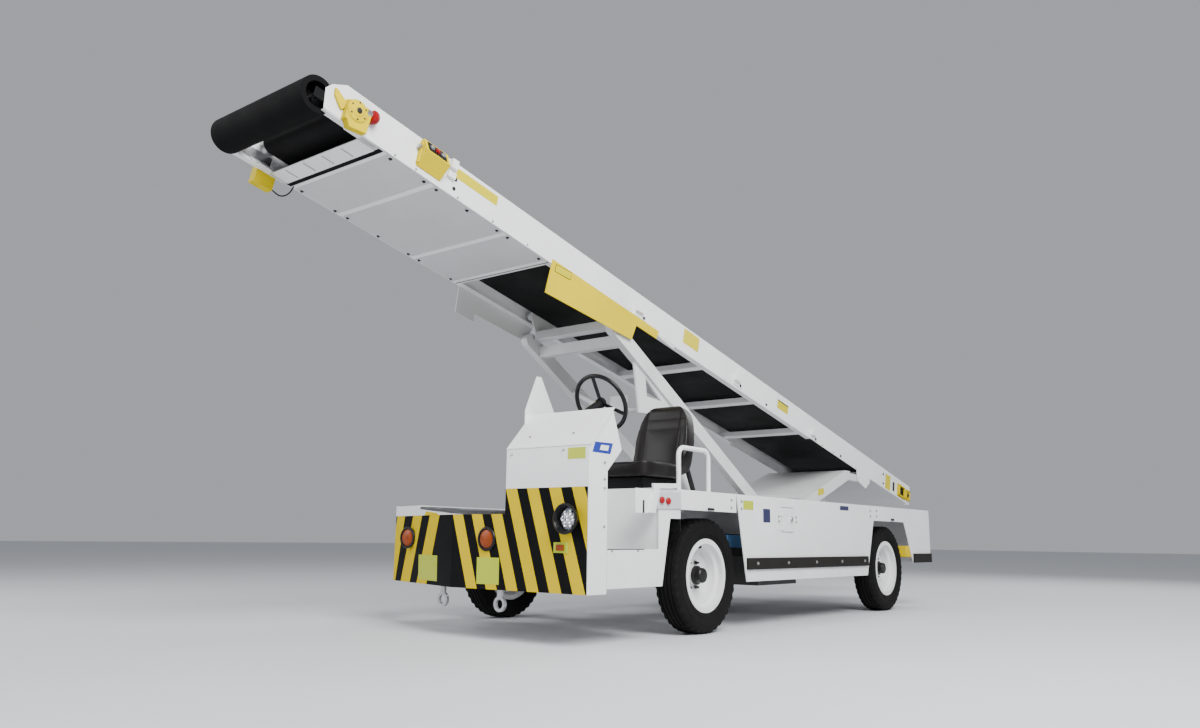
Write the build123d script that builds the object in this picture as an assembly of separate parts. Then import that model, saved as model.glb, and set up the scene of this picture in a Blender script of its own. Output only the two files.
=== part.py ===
from build123d import *
from math import sin, cos, tan, radians, atan2, hypot
import os

# Airport belt loader, drawn in millimetres in its parked working pose.
# +Y points to the rear, +X to the driver's side, +Z up; the ground is Z = 0.

# Body in plan: lengths run rearwards from the face of the front bumper
HALF_WIDTH = 1030.0
BODY_LENGTH = 5419.0
BODY_TOP = 929.0
PLATE = 6.0
PANEL_GAP = 5.0
OVERRUN = 40.0

# Driver's cowl
COWL_INNER_X = 379.0
SKIRT_BOTTOM = 301.0
STRIPE_TOP = 902.0
HOOD_BEND_Z = 1140.0
HOOD_TOP_Y = 213.0
HOOD_TOP_Z = 1373.0
COWL_SIDE_CORNER_Y = 305.0
COWL_SIDE_CORNER_Z = 1132.0
COWL_SIDE_Y = 170.0
COWL_SIDE_Z = 999.0
FIN_FOOT_FRONT_Y = 150.0
FIN_FOOT_REAR_Y = 430.0
FIN_TIP_Y = 250.0
FIN_TIP_WIDTH = 40.0
FIN_TOP_Z = 1630.0
FIN_WAIST_Z = 1400.0

# Low front bumper, swept back on the far side
BUMPER_TOP = 751.0
BUMPER_KNEE_X = -80.0
BUMPER_SWEEP_Y = 331.0
BUMPER_LIP = 60.0
SIDE_WEDGE_REAR_Y = 930.0
SIDE_WEDGE_REAR_TOP = 560.0

# Driver's side step and foot well
STEP_BOTTOM = 329.0
STEP_TOP = 553.0
STEP_REAR_BOTTOM_Y = 728.0
STEP_REAR_TOP_Y = 816.0
SWITCH_PANEL_FRONT_Y = 690.0
SWITCH_PANEL_BOTTOM = 742.0
SWITCH_PANEL_REAR_Y = 932.0
FOOT_WELL_FLOOR = 420.0
FOOT_WELL_INNER_X = 496.0
SEAT_RISER_Y = 700.0

# Side bodies and wheel arches
BEAM_BOTTOM = 801.0
FRONT_ARCH_REAR_TOP_Y = 1631.0
FRONT_ARCH_REAR_BOTTOM_Y = 1763.0
MID_BOTTOM = 328.0
REAR_OVERHANG = 1010.0
REAR_AXLE_Y = BODY_LENGTH - REAR_OVERHANG
REAR_ARCH_FRONT_BOTTOM_Y = REAR_AXLE_Y - 552.0
REAR_ARCH_FRONT_TOP_Y = REAR_AXLE_Y - 384.0
REAR_ARCH_TOP = 800.0
REAR_ARCH_REAR_TOP_Y = REAR_AXLE_Y + 336.0
REAR_ARCH_REAR_BOTTOM_Y = REAR_AXLE_Y + 541.0
QUARTER_BOTTOM = 422.0
BAY_LEFT_X = 410.0
BAY_RIGHT_X = -620.0
FAR_DECK_TOP = 820.0
FAR_DECK_REAR_Y = 3050.0
FAR_BEAM_BOTTOM = 770.0
RAIL_GUARD_BOTTOM = 410.0
RAIL_GUARD_TOP = 491.0
RAIL_GUARD_THICK = 14.0
REAR_RUBBER_TOP = 508.0

# Side door on the driver's side
DOOR_FRONT_Y = 2300.0
DOOR_REAR_Y = 2482.0
DOOR_BOTTOM = 680.0
DOOR_TOP = 857.0
DOOR_THICK = 12.0
DOOR_PIN_RADIUS = 3.0
DOOR_BARREL_HALF = 12.0
DOOR_LEAF = 40.0
LATCH_SIZE = 44.0

# Ladder frame
FRAME_RAIL_X = 450.0
FRAME_RAIL_WIDTH = 80.0
FRAME_RAIL_BOTTOM = 500.0
FRAME_RAIL_TOP = 660.0
FRAME_FRONT_Y = 230.0
RUNNING_GAP = 0.3
CROSS_TUBE = 70.0
OUTRIGGER = 60.0

# Running gear
TYRE_RADIUS = 378.0
TYRE_WIDTH = 190.0
RIM_RADIUS = 242.0
RIM_BEAD = 215.0
HUB_RADIUS = 62.0
WHEEL_X = HALF_WIDTH - 135.0
FRONT_AXLE_Y = 1323.0
KINGPIN_X = WHEEL_X - 160.0
KINGPIN_RADIUS = 22.0
AXLE_BEAM = 76.0
SPRING_WIDTH = 64.0
SPRING_THICK = 36.0
SPRING_HALF = 430.0
TIE_ROD_REACH = 150.0
TIE_ROD_RADIUS = 14.0
TIE_TUBE_RADIUS = 11.0
DIFF_RADIUS = 140.0
AXLE_TUBE_RADIUS = 46.0
DRUM_RADIUS = 150.0
DRUM_WIDTH = 45.0
HUB_BORE = 25.0
RIM_HALF = 80.0
DISH = 44.0
HUB_BACK = 16.0

# Power unit, kept as plain blocks
ENGINE_FRONT_Y = 2850.0
ENGINE_REAR_Y = 3440.0
ENGINE_BOTTOM = 260.0
ENGINE_TOP = 640.0
ENGINE_HALF = 240.0
GEARBOX_REAR_Y = 3900.0
GEARBOX_RADIUS = 120.0
SHAFT_RADIUS = 34.0
TANK_FRONT_Y = 2150.0
TANK_REAR_Y = 2760.0
TANK_BOTTOM = 285.0
TANK_TOP = 620.0
TANK_INNER_X = 520.0
TANK_OUTER_X = HALF_WIDTH - 130.0

# Driver's seat and controls
SEAT_X = HALF_WIDTH - 330.0
SEAT_HALF = 235.0
SEAT_FRONT_Y = 680.0
SEAT_REAR_Y = 1130.0
SEAT_LEG_HALF = 188.0
SEAT_LEG_FRONT_Y = 720.0
SEAT_LEG_REAR_Y = 1112.0
SEAT_BASE_TOP = 1000.0
CUSHION_TOP = 1100.0
CUSHION_ROUND = 30.0
BACK_HALF = 223.0
BACK_THICK = 110.0
BACK_FOOT = 1040.0
BACK_HEIGHT = 495.0
BACK_RAKE = 13.0
BACK_ROUND = 38.0
POST_NEAR = 44.0
POST_FAR = 72.0
STEER_HUB_Y = 515.0
STEER_HUB_Z = 1466.0
STEER_RADIUS = 200.0
STEER_RIM = 14.0
STEER_RAKE = 30.0
STEER_HUB_RADIUS = 34.0
SPOKE_WIDTH = 22.0
SPOKE_THICK = 10.0
STEER_X = SEAT_X
COLUMN_RADIUS = 28.0
COLUMN_REACH = 420.0
GRAB_FRONT_Y = 1000.0
GRAB_REAR_Y = 1363.0
GRAB_TOP = 1211.0
GRAB_X = HALF_WIDTH - 60.0
GRAB_RADIUS = 16.0
GRAB_BEND = 60.0

# Conveyor boom; its own lengths run forwards from the tail, heights from the rail's underside
BOOM_PITCH = 12.42
BOOM_TAIL_Y = 6724.0
BOOM_TAIL_Z = 1039.0
BOOM_LENGTH = 8273.0
BOOM_LEFT_X = 345.0
BOOM_RIGHT_X = -581.0
BOOM_DEPTH = 216.0
BOOM_WEB = 6.0
BOOM_FLANGE = 55.0
NOSE_CUT = 90.0
NOSE_SHOULDER = 184.0
FLANGE_GAP_REAR_U = 1300.0
FLANGE_GAP_FRONT_U = 2550.0
BELT_INSET = 115.0
BELT_THICK = 8.0
PULLEY_RADIUS = 60.0
PULLEY_AXLE_RADIUS = 20.0
PULLEY_HEIGHT = 130.0
HEAD_PULLEY_U = BOOM_LENGTH - 108.0
TAIL_PULLEY_U = 110.0
BED_THICK = 4.0
CROSS_DEPTH = 52.0
CROSS_WIDTH = 70.0
CROSS_ROWS_U = (300.0, 1190.0, 2717.0, 3606.0, 4475.0, 6490.0, BOOM_LENGTH - 273.0)
BELLY_THICK = 4.0
BELLY_SEAMS_U = (6500.0, 6918.0, 7553.0, BOOM_LENGTH - 328.0, BOOM_LENGTH - 183.0)
TAIL_PAN_FRONT_U = 1250.0
TAIL_PAN_REAR_U = 60.0
TRACK_REAR_U = 4900.0
TRACK_FRONT_U = 6600.0
TRACK_LOW = 118.0
TRACK_WIDTH = 105.0
BUMP_RADIUS = 105.0
BUMP_BORE = 74.0
BUMP_U = BOOM_LENGTH + 127.0
BUMP_V = 70.0
BUMP_SHAFT = 14.0
BUMP_DISC = 40.0
BUMP_DISC_INSET = 80.0
GUARD_THICK = 6.0

# Guard plates over the lift, as places along and above the boom
NEAR_GUARD = ((6467.0, 30.0), (5190.0, 30.0), (5212.0, -38.0), (5476.0, -39.0), (5510.0, -168.0), (6482.0, -224.0))
FAR_GUARD = ((6442.0, 30.0), (5600.0, 30.0), (5683.0, -131.0), (6240.0, -143.0), (6232.0, -200.0), (6425.0, -204.0))
STEP_PLATE = ((5184.0, 10.0), (4968.0, 10.0), (4968.0, -30.0), (5184.0, -12.0))

# Boxes on the boom: the control box in section, the stop box and the recessed box at the tail
CONTROL_REAR_U = 7520.0
CONTROL_FRONT_U = 7710.0
CONTROL_SECTION = ((0.0, 208.0), (26.0, 208.0), (74.0, 122.0), (8.0, 36.0), (0.0, 36.0))
STOP_REAR_U = 8130.0
STOP_FRONT_U = 8250.0
STOP_BOTTOM = 5.0
STOP_TOP = 120.0
STOP_REACH = 46.0
STOP_BUTTON_U = 8061.0
STOP_BUTTON_V = 125.0
STOP_BUTTON_RADIUS = 20.0
FAR_BOX_REAR_U = 8030.0
FAR_BOX_FRONT_U = 8160.0
FAR_BOX_BOTTOM = -88.0
FAR_BOX_TOP = 28.0
FAR_BOX_REACH = 60.0
TAIL_PLATE_REAR_U = 150.0
TAIL_PLATE_FRONT_U = 370.0
TAIL_PLATE_BOTTOM = 20.0
TAIL_PLATE_TOP = 160.0
TAIL_PLATE_THICK = 8.0

# Lift linkages: pins on the chassis and at the boom
FRONT_LIFT_Y = 3500.0
FRONT_LIFT_Z = 760.0
FRONT_TIP_Y = 1150.0
FRONT_TIP_Z = 2129.0
TIP_TUBE_Y = 1280.0
TIP_TUBE_Z = 2053.0
TIP_TUBE = 80.0
FOOT_TUBE_Y = 3310.0
FOOT_TUBE_Z = 871.0
REAR_LIFT_Y = 3750.0
REAR_LIFT_Z = 823.0
REAR_ARM_RISE = 19.3
REAR_ARM_END_Y = 5150.0
REAR_ARM_TOP = 1333.0
REAR_TONGUE_Y = 5000.0
REAR_TONGUE_Z = 1285.0
TONGUE_DEPTH = 70.0
ARM_PLATE_FRONT_Y = 4250.0
ARM_PLATE_THICK = 8.0
ARM_PLATE_FOLD = 40.0
REAR_PIN_U = 1392.0
REAR_PIN_DROP = 70.0
LUG_DEPTH = 134.0
LUG_FRONT_U = 1450.0
LUG_TOOTH_U = 1220.0
LUG_REAR_U = 1130.0
LUG_REAR_DROP = 48.0
LUG_ROUND = 40.0
ARM_LEFT_X = 298.0
ARM_RIGHT_X = -534.0
ARM_WIDTH = 60.0
ARM_DEPTH = 110.0
CROSS_ROUND = 38.0
LIFT_SHAFT = 30.0
FRONT_CYL_X = 215.0
REAR_CYL_X = -118.0
FRONT_CYL_BASE_Y = 2700.0
FRONT_CYL_BASE_Z = 545.0
FRONT_CYL_EYE_Y = 1740.0
FRONT_CYL_EYE_Z = 1608.0
REAR_CYL_BASE_Y = REAR_AXLE_Y + 741.0
REAR_CYL_BASE_Z = 580.0
REAR_CYL_ARM = 750.0
REAR_EYE_DROP = 130.0
LUG_STANDOFF = 80.0
BARREL_RADIUS = 46.0
BARREL_STANDOFF = 60.0
FRONT_BARREL_LENGTH = 880.0
REAR_BARREL_LENGTH = 450.0
FRONT_ROD_INSIDE = 430.0
REAR_ROD_INSIDE = 225.0
ROD_RADIUS = 24.0
EYE_RADIUS = 36.0
CYL_PIN = 18.0

# Gusset under the near arm, with its window and the tube and brace across the lift
GUSSET_OUTLINE = ((1400.0, 1975.0), (1400.0, 1925.0), (1470.0, 1540.0), (1720.0, 1548.0), (1980.0, 1570.0), (1980.0, 1640.0))
GUSSET_WINDOW = ((1550.0, 1810.0), (1565.0, 1673.0), (1760.0, 1658.0))
GUSSET_THICK = 16.0
GUSSET_BOSS = 46.0
GUSSET_CHEEK = 40.0
TIE_Y = 1630.0
TIE_Z = 1590.0
TIE_END_X = -130.0
TIE_RADIUS = 23.0
SWITCH_PLATE_LEFT_X = 80.0
SWITCH_PLATE_RIGHT_X = -90.0
SWITCH_PLATE_TOP = 1710.0
BRACE_FOOT_X = -100.0
BRACE_HEAD_Y = 1680.0
BRACE_HEAD_Z = 1800.0

# Carriage between the front lift and the boom: pin and rollers as places on the boom
CARRIAGE_U = 5600.0
CARRIAGE_DROP = 80.0
CARRIAGE_PIN = 12.0
CARRIAGE_PLATE = 12.0
CARRIAGE_GAP = 6.0
ROLLER_FRONT_U = 5723.0
ROLLER_REAR_U = 5508.0
ROLLER_RISE = 54.0
ROLLER_RADIUS = 30.0
ROLLER_WIDTH = 30.0
ROLLER_PIN = 10.0
CARRIAGE_EDGE = 22.0
CARRIAGE_FOOT = 36.0
CHANNEL_U = 5637.0
CHANNEL_WIDTH = 60.0
CHANNEL_TOP = -56.0
CHANNEL_BOTTOM = -122.0
EAR_WIDTH = 12.0
EAR_HALF = 34.0

# Front fittings
RING_BORE = 28.0
RING_WIRE = 18.0
RING_DROP = 83.0
RING_LEFT_X = 345.0
RING_RIGHT_X = -223.0
HEAD_LAMP_X = HALF_WIDTH - 128.0
HEAD_LAMP_Z = 720.0
LAMP_RADIUS = 78.0
LAMP_DEPTH = 60.0
AMBER_RADIUS = 62.0
AMBER_DEPTH = 40.0
AMBER_PROUD = 12.0
AMBER_Z = 601.0
AMBER_LEFT_X = 232.0
AMBER_RIGHT_X = -732.0

# Shares of named lengths
WELL_SHARE, HUB_SLOPE_SHARE = 0.9, 1.5
LIP_SHARE, WALL_SHARE, BULGE_SHARE = 0.9, 0.8, 0.98
SHOULDER_SHARE, TREAD_SHARE = 0.965, 0.72


def block(x0, x1, y0, y1, z0, z1):
    centre = Pos((x0 + x1) / 2, (y0 + y1) / 2, (z0 + z1) / 2)
    return centre * Box(abs(x1 - x0), abs(y1 - y0), abs(z1 - z0))


def side_plate(outline_yz, x0, x1):
    wire = Polyline([(x0, y, z) for y, z in outline_yz], close=True)
    return extrude(make_face(wire), amount=x1 - x0, dir=(1, 0, 0))


def plan_plate(outline_xy, z0, z1):
    wire = Polyline([(x, y, z0) for x, y in outline_xy], close=True)
    return extrude(make_face(wire), amount=z1 - z0, dir=(0, 0, 1))


def front_plate(outline_xz, y0, y1):
    wire = Polyline([(x, y0, z) for x, z in outline_xz], close=True)
    return extrude(make_face(wire), amount=y1 - y0, dir=(0, 1, 0))


def bar(start, end, radius):
    run = Vector(*end) - Vector(*start)
    lift = (Align.CENTER, Align.CENTER, Align.MIN)
    return Plane(origin=start, z_dir=run) * Cylinder(radius, run.length, align=lift)


def cross_bar(x0, x1, y, z, radius):
    return bar((min(x0, x1), y, z), (max(x0, x1), y, z), radius)


def side_beam(start_yz, end_yz, x0, x1, depth):
    # A straight box beam in the side view, its depth square to its run.
    run = (end_yz[0] - start_yz[0], end_yz[1] - start_yz[1])
    length = hypot(*run)
    across = (-run[1] / length * depth / 2, run[0] / length * depth / 2)
    outline = [(start_yz[0] + across[0], start_yz[1] + across[1]),
               (end_yz[0] + across[0], end_yz[1] + across[1]),
               (end_yz[0] - across[0], end_yz[1] - across[1]),
               (start_yz[0] - across[0], start_yz[1] - across[1])]
    return side_plate(outline, x0, x1)


def joined(pieces):
    whole = pieces[0]
    for piece in pieces[1:]:
        whole = whole + piece
    return whole


def on_boom(shape):
    # Boom shapes are drawn flat with the tail at Y = 0 and the nose towards -Y.
    return Pos(0, BOOM_TAIL_Y, BOOM_TAIL_Z) * (Rot(X=-BOOM_PITCH) * shape)


def boom_point(along, above):
    pitch = radians(BOOM_PITCH)
    y = BOOM_TAIL_Y - along * cos(pitch) + above * sin(pitch)
    return y, BOOM_TAIL_Z + along * sin(pitch) + above * cos(pitch)


def boom_block(x0, x1, u0, u1, v0, v1):
    return block(x0, x1, -u1, -u0, v0, v1)


HUB_FACE_X = WHEEL_X - DISH - HUB_BACK - RUNNING_GAP
nose_y = boom_point(BUMP_U, BUMP_V)[0] - BUMP_RADIUS
CENTRE_TO_BUMPER = (nose_y + boom_point(0, BOOM_DEPTH)[0]) / 2
REAR_PIN = boom_point(REAR_PIN_U, -REAR_PIN_DROP)
CARRIAGE_CENTRE = boom_point(CARRIAGE_U, -CARRIAGE_DROP)
FRONT_PIN = (FRONT_LIFT_Y, FRONT_LIFT_Z)
REAR_BASE = (REAR_LIFT_Y, REAR_LIFT_Z)
arm_rise = radians(REAR_ARM_RISE)
REAR_CYL_ON_ARM = (REAR_LIFT_Y + REAR_CYL_ARM * cos(arm_rise), REAR_LIFT_Z + REAR_CYL_ARM * sin(arm_rise))
REAR_CYL_EYE = (REAR_CYL_ON_ARM[0] + REAR_EYE_DROP * sin(arm_rise),
                REAR_CYL_ON_ARM[1] - REAR_EYE_DROP * cos(arm_rise))
FRONT_CYL_EYE = (FRONT_CYL_EYE_Y, FRONT_CYL_EYE_Z)
FRONT_CYL_BASE = (FRONT_CYL_BASE_Y, FRONT_CYL_BASE_Z)
REAR_CYL_BASE = (REAR_CYL_BASE_Y, REAR_CYL_BASE_Z)


# Ladder frame, the outriggers that carry the side bodies, and the lugs of both lifts

def chassis_frame():
    half = FRAME_RAIL_WIDTH / 2
    pieces = []
    for side in (-1, 1):
        middle = side * FRAME_RAIL_X
        pieces.append(block(middle - half, middle + half, FRAME_FRONT_Y, BODY_LENGTH - PLATE,
                            FRAME_RAIL_BOTTOM, FRAME_RAIL_TOP))
    cross_rows = [FRAME_FRONT_Y, SEAT_RISER_Y, FRONT_ARCH_REAR_BOTTOM_Y + OUTRIGGER, FRONT_CYL_BASE_Y + LUG_STANDOFF,
                  FRONT_LIFT_Y - CROSS_TUBE / 2, REAR_LIFT_Y - CROSS_TUBE / 2, REAR_CYL_BASE_Y + LUG_STANDOFF,
                  BODY_LENGTH - PLATE - CROSS_TUBE]
    for y in cross_rows:
        pieces.append(block(-FRAME_RAIL_X, FRAME_RAIL_X, y, y + CROSS_TUBE,
                            FRAME_RAIL_BOTTOM, FRAME_RAIL_BOTTOM + CROSS_TUBE))
    return joined(pieces)


def outriggers():
    pieces = []
    rail_face = FRAME_RAIL_X + FRAME_RAIL_WIDTH / 2
    rows = [FRONT_ARCH_REAR_BOTTOM_Y + OUTRIGGER, TANK_REAR_Y + OUTRIGGER,
            REAR_ARCH_FRONT_BOTTOM_Y - 2 * OUTRIGGER, REAR_ARCH_REAR_BOTTOM_Y + OUTRIGGER]
    for y in rows:
        for side in (-1, 1):
            x0, x1 = side * rail_face, side * (HALF_WIDTH - PLATE)
            pieces.append(block(min(x0, x1), max(x0, x1), y, y + OUTRIGGER,
                                FRAME_RAIL_BOTTOM, FRAME_RAIL_BOTTOM + OUTRIGGER))
    return pieces


# Lift pivots: two plates beside each arm, welded on a cross plate, with the pivot shaft through them

def lift_mounts():
    pieces = []
    reach = LIFT_SHAFT * 2
    for y, z in (FRONT_PIN, REAR_BASE):
        outline = [(y - reach, FRAME_RAIL_TOP), (y + reach, FRAME_RAIL_TOP), (y + LIFT_SHAFT, z + LIFT_SHAFT),
                   (y - LIFT_SHAFT, z + LIFT_SHAFT)]
        for x in (ARM_LEFT_X, ARM_RIGHT_X):
            for side in (-1, 1):
                near = x + side * (ARM_WIDTH / 2 + PLATE)
                far = near + side * 2 * PLATE
                pieces.append(side_plate(outline, min(near, far), max(near, far)))
        far_edge = ARM_RIGHT_X - ARM_WIDTH / 2 - 4 * PLATE
        pieces.append(block(far_edge, FRAME_RAIL_X, y - reach, y + reach, FRAME_RAIL_TOP - 2 * PLATE, FRAME_RAIL_TOP))
        pieces.append(block(-CROSS_TUBE, CROSS_TUBE, y - CROSS_TUBE / 2, y + CROSS_TUBE / 2,
                            FRAME_RAIL_BOTTOM, FRAME_RAIL_TOP))
        pieces.append(cross_bar(ARM_RIGHT_X - ARM_WIDTH / 2 - 4 * PLATE, ARM_LEFT_X + ARM_WIDTH / 2 + 4 * PLATE,
                                y, z, LIFT_SHAFT / 2))
    return joined(pieces)


def cylinder_lugs():
    # Plates run back from each base pin to the cross member behind it.
    pieces = []
    inner = CYL_PIN + 2 * PLATE
    outer = inner + 2 * PLATE
    for x, (y, z) in ((FRONT_CYL_X, FRONT_CYL_BASE), (REAR_CYL_X, REAR_CYL_BASE)):
        row = y + LUG_STANDOFF
        outline = [(y - CYL_PIN, z - 2 * CYL_PIN), (row, FRAME_RAIL_BOTTOM), (row + CYL_PIN, FRAME_RAIL_BOTTOM),
                   (row + CYL_PIN, FRAME_RAIL_BOTTOM + CROSS_TUBE + CYL_PIN), (y, z + 2 * CYL_PIN),
                   (y - 2 * CYL_PIN, z + CYL_PIN), (y - 2 * CYL_PIN, z - CYL_PIN)]
        for side in (-1, 1):
            x0, x1 = x + side * inner, x + side * outer
            pieces.append(side_plate(outline, min(x0, x1), max(x0, x1)))
        pieces.append(cross_bar(x - outer, x + outer, y, z, CYL_PIN))
    return pieces


# Side bodies: the skins in the side view, mirrored for the far side

def skin_outlines():
    beam = [(SWITCH_PANEL_REAR_Y + PANEL_GAP, BEAM_BOTTOM), (FRONT_ARCH_REAR_TOP_Y, BEAM_BOTTOM),
            (FRONT_ARCH_REAR_TOP_Y, BODY_TOP), (SWITCH_PANEL_REAR_Y + PANEL_GAP, BODY_TOP)]
    mid = [(FRONT_ARCH_REAR_BOTTOM_Y, MID_BOTTOM), (REAR_ARCH_FRONT_BOTTOM_Y, MID_BOTTOM),
           (REAR_ARCH_FRONT_TOP_Y, REAR_ARCH_TOP), (REAR_ARCH_REAR_TOP_Y, REAR_ARCH_TOP),
           (REAR_ARCH_REAR_BOTTOM_Y, QUARTER_BOTTOM), (BODY_LENGTH, QUARTER_BOTTOM),
           (BODY_LENGTH, BODY_TOP), (FRONT_ARCH_REAR_TOP_Y + PANEL_GAP, BODY_TOP)]
    return beam, mid


def door_opening(x0, x1):
    return block(x0, x1, DOOR_FRONT_Y - PANEL_GAP, DOOR_REAR_Y + PANEL_GAP,
                 DOOR_BOTTOM - PANEL_GAP, DOOR_TOP + PANEL_GAP)


def left_body():
    beam, mid = skin_outlines()
    inner = HALF_WIDTH - PLATE
    skin = side_plate(mid, inner, HALF_WIDTH) - door_opening(inner - OVERRUN, HALF_WIDTH + OVERRUN)
    top = BODY_TOP - PLATE
    deck = block(BAY_LEFT_X, inner, SWITCH_PANEL_REAR_Y, BODY_LENGTH - PLATE, top, BODY_TOP)
    wall = block(BAY_LEFT_X, BAY_LEFT_X + PLATE, FRONT_ARCH_REAR_TOP_Y, BODY_LENGTH - PLATE,
                 FRAME_RAIL_TOP, top)
    riser = block(BAY_LEFT_X, inner, SWITCH_PANEL_REAR_Y - PLATE, SWITCH_PANEL_REAR_Y, FRAME_RAIL_TOP, BODY_TOP)
    return joined([skin, side_plate(beam, inner, HALF_WIDTH), deck, wall, riser] + body_hinges())


def far_outline():
    # The far deck sits lower ahead of the power unit.
    rear = skin_outlines()[1][:6]
    front = [(BODY_LENGTH, BODY_TOP), (FAR_DECK_REAR_Y, BODY_TOP), (FAR_DECK_REAR_Y, FAR_DECK_TOP),
             (BUMPER_SWEEP_Y, FAR_DECK_TOP), (BUMPER_SWEEP_Y, BUMPER_TOP), (SIDE_WEDGE_REAR_Y, BUMPER_TOP),
             (SIDE_WEDGE_REAR_Y, FAR_BEAM_BOTTOM), (FRONT_ARCH_REAR_TOP_Y, FAR_BEAM_BOTTOM)]
    return rear + front


def swept_y(x):
    return (BUMPER_KNEE_X - x) * BUMPER_SWEEP_Y / (HALF_WIDTH + BUMPER_KNEE_X)


def right_body():
    inner = -(HALF_WIDTH - PLATE)
    top = BODY_TOP - PLATE
    skin = side_plate(far_outline(), -HALF_WIDTH, inner)
    rear_deck = block(inner, BAY_RIGHT_X, FAR_DECK_REAR_Y, BODY_LENGTH - PLATE, top, BODY_TOP)
    step = block(inner, BAY_RIGHT_X, FAR_DECK_REAR_Y, FAR_DECK_REAR_Y + PLATE, FAR_DECK_TOP - PLATE, top)
    front_y = swept_y(BAY_RIGHT_X)
    low_deck = plan_plate([(inner, BUMPER_SWEEP_Y), (BAY_RIGHT_X, front_y), (BAY_RIGHT_X, FAR_DECK_REAR_Y),
                           (inner, FAR_DECK_REAR_Y)], FAR_DECK_TOP - PLATE, FAR_DECK_TOP)
    brow = plan_plate([(inner, BUMPER_SWEEP_Y), (BAY_RIGHT_X, front_y), (BAY_RIGHT_X, front_y + PLATE),
                       (inner, BUMPER_SWEEP_Y + PLATE)], BUMPER_TOP, FAR_DECK_TOP - PLATE)
    wall = side_plate([(FRONT_ARCH_REAR_TOP_Y, FRAME_RAIL_TOP), (BODY_LENGTH - PLATE, FRAME_RAIL_TOP),
                       (BODY_LENGTH - PLATE, top), (FAR_DECK_REAR_Y, top),
                       (FAR_DECK_REAR_Y, FAR_DECK_TOP - PLATE), (FRONT_ARCH_REAR_TOP_Y, FAR_DECK_TOP - PLATE)],
                      BAY_RIGHT_X - PLATE, BAY_RIGHT_X)
    return joined([skin, rear_deck, step, low_deck, brow, wall])


def rear_panel():
    top = BODY_TOP - 2 * PLATE
    return front_plate([(-HALF_WIDTH + PLATE, QUARTER_BOTTOM), (HALF_WIDTH - PLATE, QUARTER_BOTTOM),
                        (HALF_WIDTH - PLATE, BODY_TOP), (BAY_LEFT_X, BODY_TOP),
                        (BAY_LEFT_X, FRAME_RAIL_TOP), (BAY_RIGHT_X, FRAME_RAIL_TOP),
                        (BAY_RIGHT_X, BODY_TOP), (-HALF_WIDTH + PLATE, BODY_TOP)],
                       BODY_LENGTH - PLATE, BODY_LENGTH)


def rub_rails():
    pieces = []
    for side in (-1, 1):
        x0, x1 = side * HALF_WIDTH, side * (HALF_WIDTH + RAIL_GUARD_THICK)
        lo, hi = min(x0, x1), max(x0, x1)
        pieces.append(block(lo, hi, FRONT_ARCH_REAR_BOTTOM_Y, REAR_ARCH_FRONT_BOTTOM_Y,
                            RAIL_GUARD_BOTTOM, RAIL_GUARD_TOP))
        pieces.append(block(lo, hi, REAR_ARCH_REAR_BOTTOM_Y, BODY_LENGTH,
                            QUARTER_BOTTOM, REAR_RUBBER_TOP))
    return pieces


def hinge_x():
    return HALF_WIDTH + RAIL_GUARD_THICK / 2


def hinge_y():
    return DOOR_FRONT_Y - PANEL_GAP / 2


def hinge_heights():
    return DOOR_BOTTOM + 3 * DOOR_BARREL_HALF, DOOR_TOP - 3 * DOOR_BARREL_HALF


def hinge_piece(z0, z1, run):
    # One knuckle with the leaf that lies on the panel beside it.
    x, y, r = hinge_x(), hinge_y(), RAIL_GUARD_THICK / 2
    leaf = block(HALF_WIDTH, HALF_WIDTH + PLATE / 2, y, y + run, z0, z1)
    return bar((x, y, z0), (x, y, z1), r) + leaf


def body_hinges():
    pieces = []
    for z in hinge_heights():
        near, far = DOOR_BARREL_HALF + RUNNING_GAP, 2 * DOOR_BARREL_HALF
        pieces.append(hinge_piece(z + near, z + far, -DOOR_LEAF))
        pieces.append(hinge_piece(z - far, z - near, -DOOR_LEAF))
        pieces.append(bar((hinge_x(), hinge_y(), z - far), (hinge_x(), hinge_y(), z + far), DOOR_PIN_RADIUS))
    return pieces


def access_door():
    leaf = block(HALF_WIDTH - PLATE, HALF_WIDTH, DOOR_FRONT_Y, DOOR_REAR_Y, DOOR_BOTTOM, DOOR_TOP)
    frame = block(HALF_WIDTH - DOOR_THICK, HALF_WIDTH - PLATE, DOOR_FRONT_Y + DOOR_THICK,
                  DOOR_REAR_Y - DOOR_THICK, DOOR_BOTTOM + DOOR_THICK, DOOR_TOP - DOOR_THICK)
    latch_y = DOOR_REAR_Y - LATCH_SIZE
    middle = (DOOR_BOTTOM + DOOR_TOP) / 2
    latch = block(HALF_WIDTH, HALF_WIDTH + PLATE, latch_y - LATCH_SIZE / 2, latch_y + LATCH_SIZE / 2,
                  middle - LATCH_SIZE / 2, middle + LATCH_SIZE / 2)
    pieces = [leaf, frame, latch]
    for z in hinge_heights():
        pieces.append(hinge_piece(z - DOOR_BARREL_HALF, z + DOOR_BARREL_HALF, DOOR_LEAF))
    hole = bar((hinge_x(), hinge_y(), DOOR_BOTTOM), (hinge_x(), hinge_y(), DOOR_TOP), DOOR_PIN_RADIUS + RUNNING_GAP)
    return joined(pieces) - hole


# Driver's cowl: a hollow shell of bent plate

def cowl_outline():
    return [(0, SKIRT_BOTTOM), (COWL_SIDE_Y, SKIRT_BOTTOM), (COWL_SIDE_Y, COWL_SIDE_Z),
            (COWL_SIDE_CORNER_Y, COWL_SIDE_CORNER_Z), (HOOD_TOP_Y, HOOD_TOP_Z), (0, HOOD_BEND_Z)]


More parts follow.
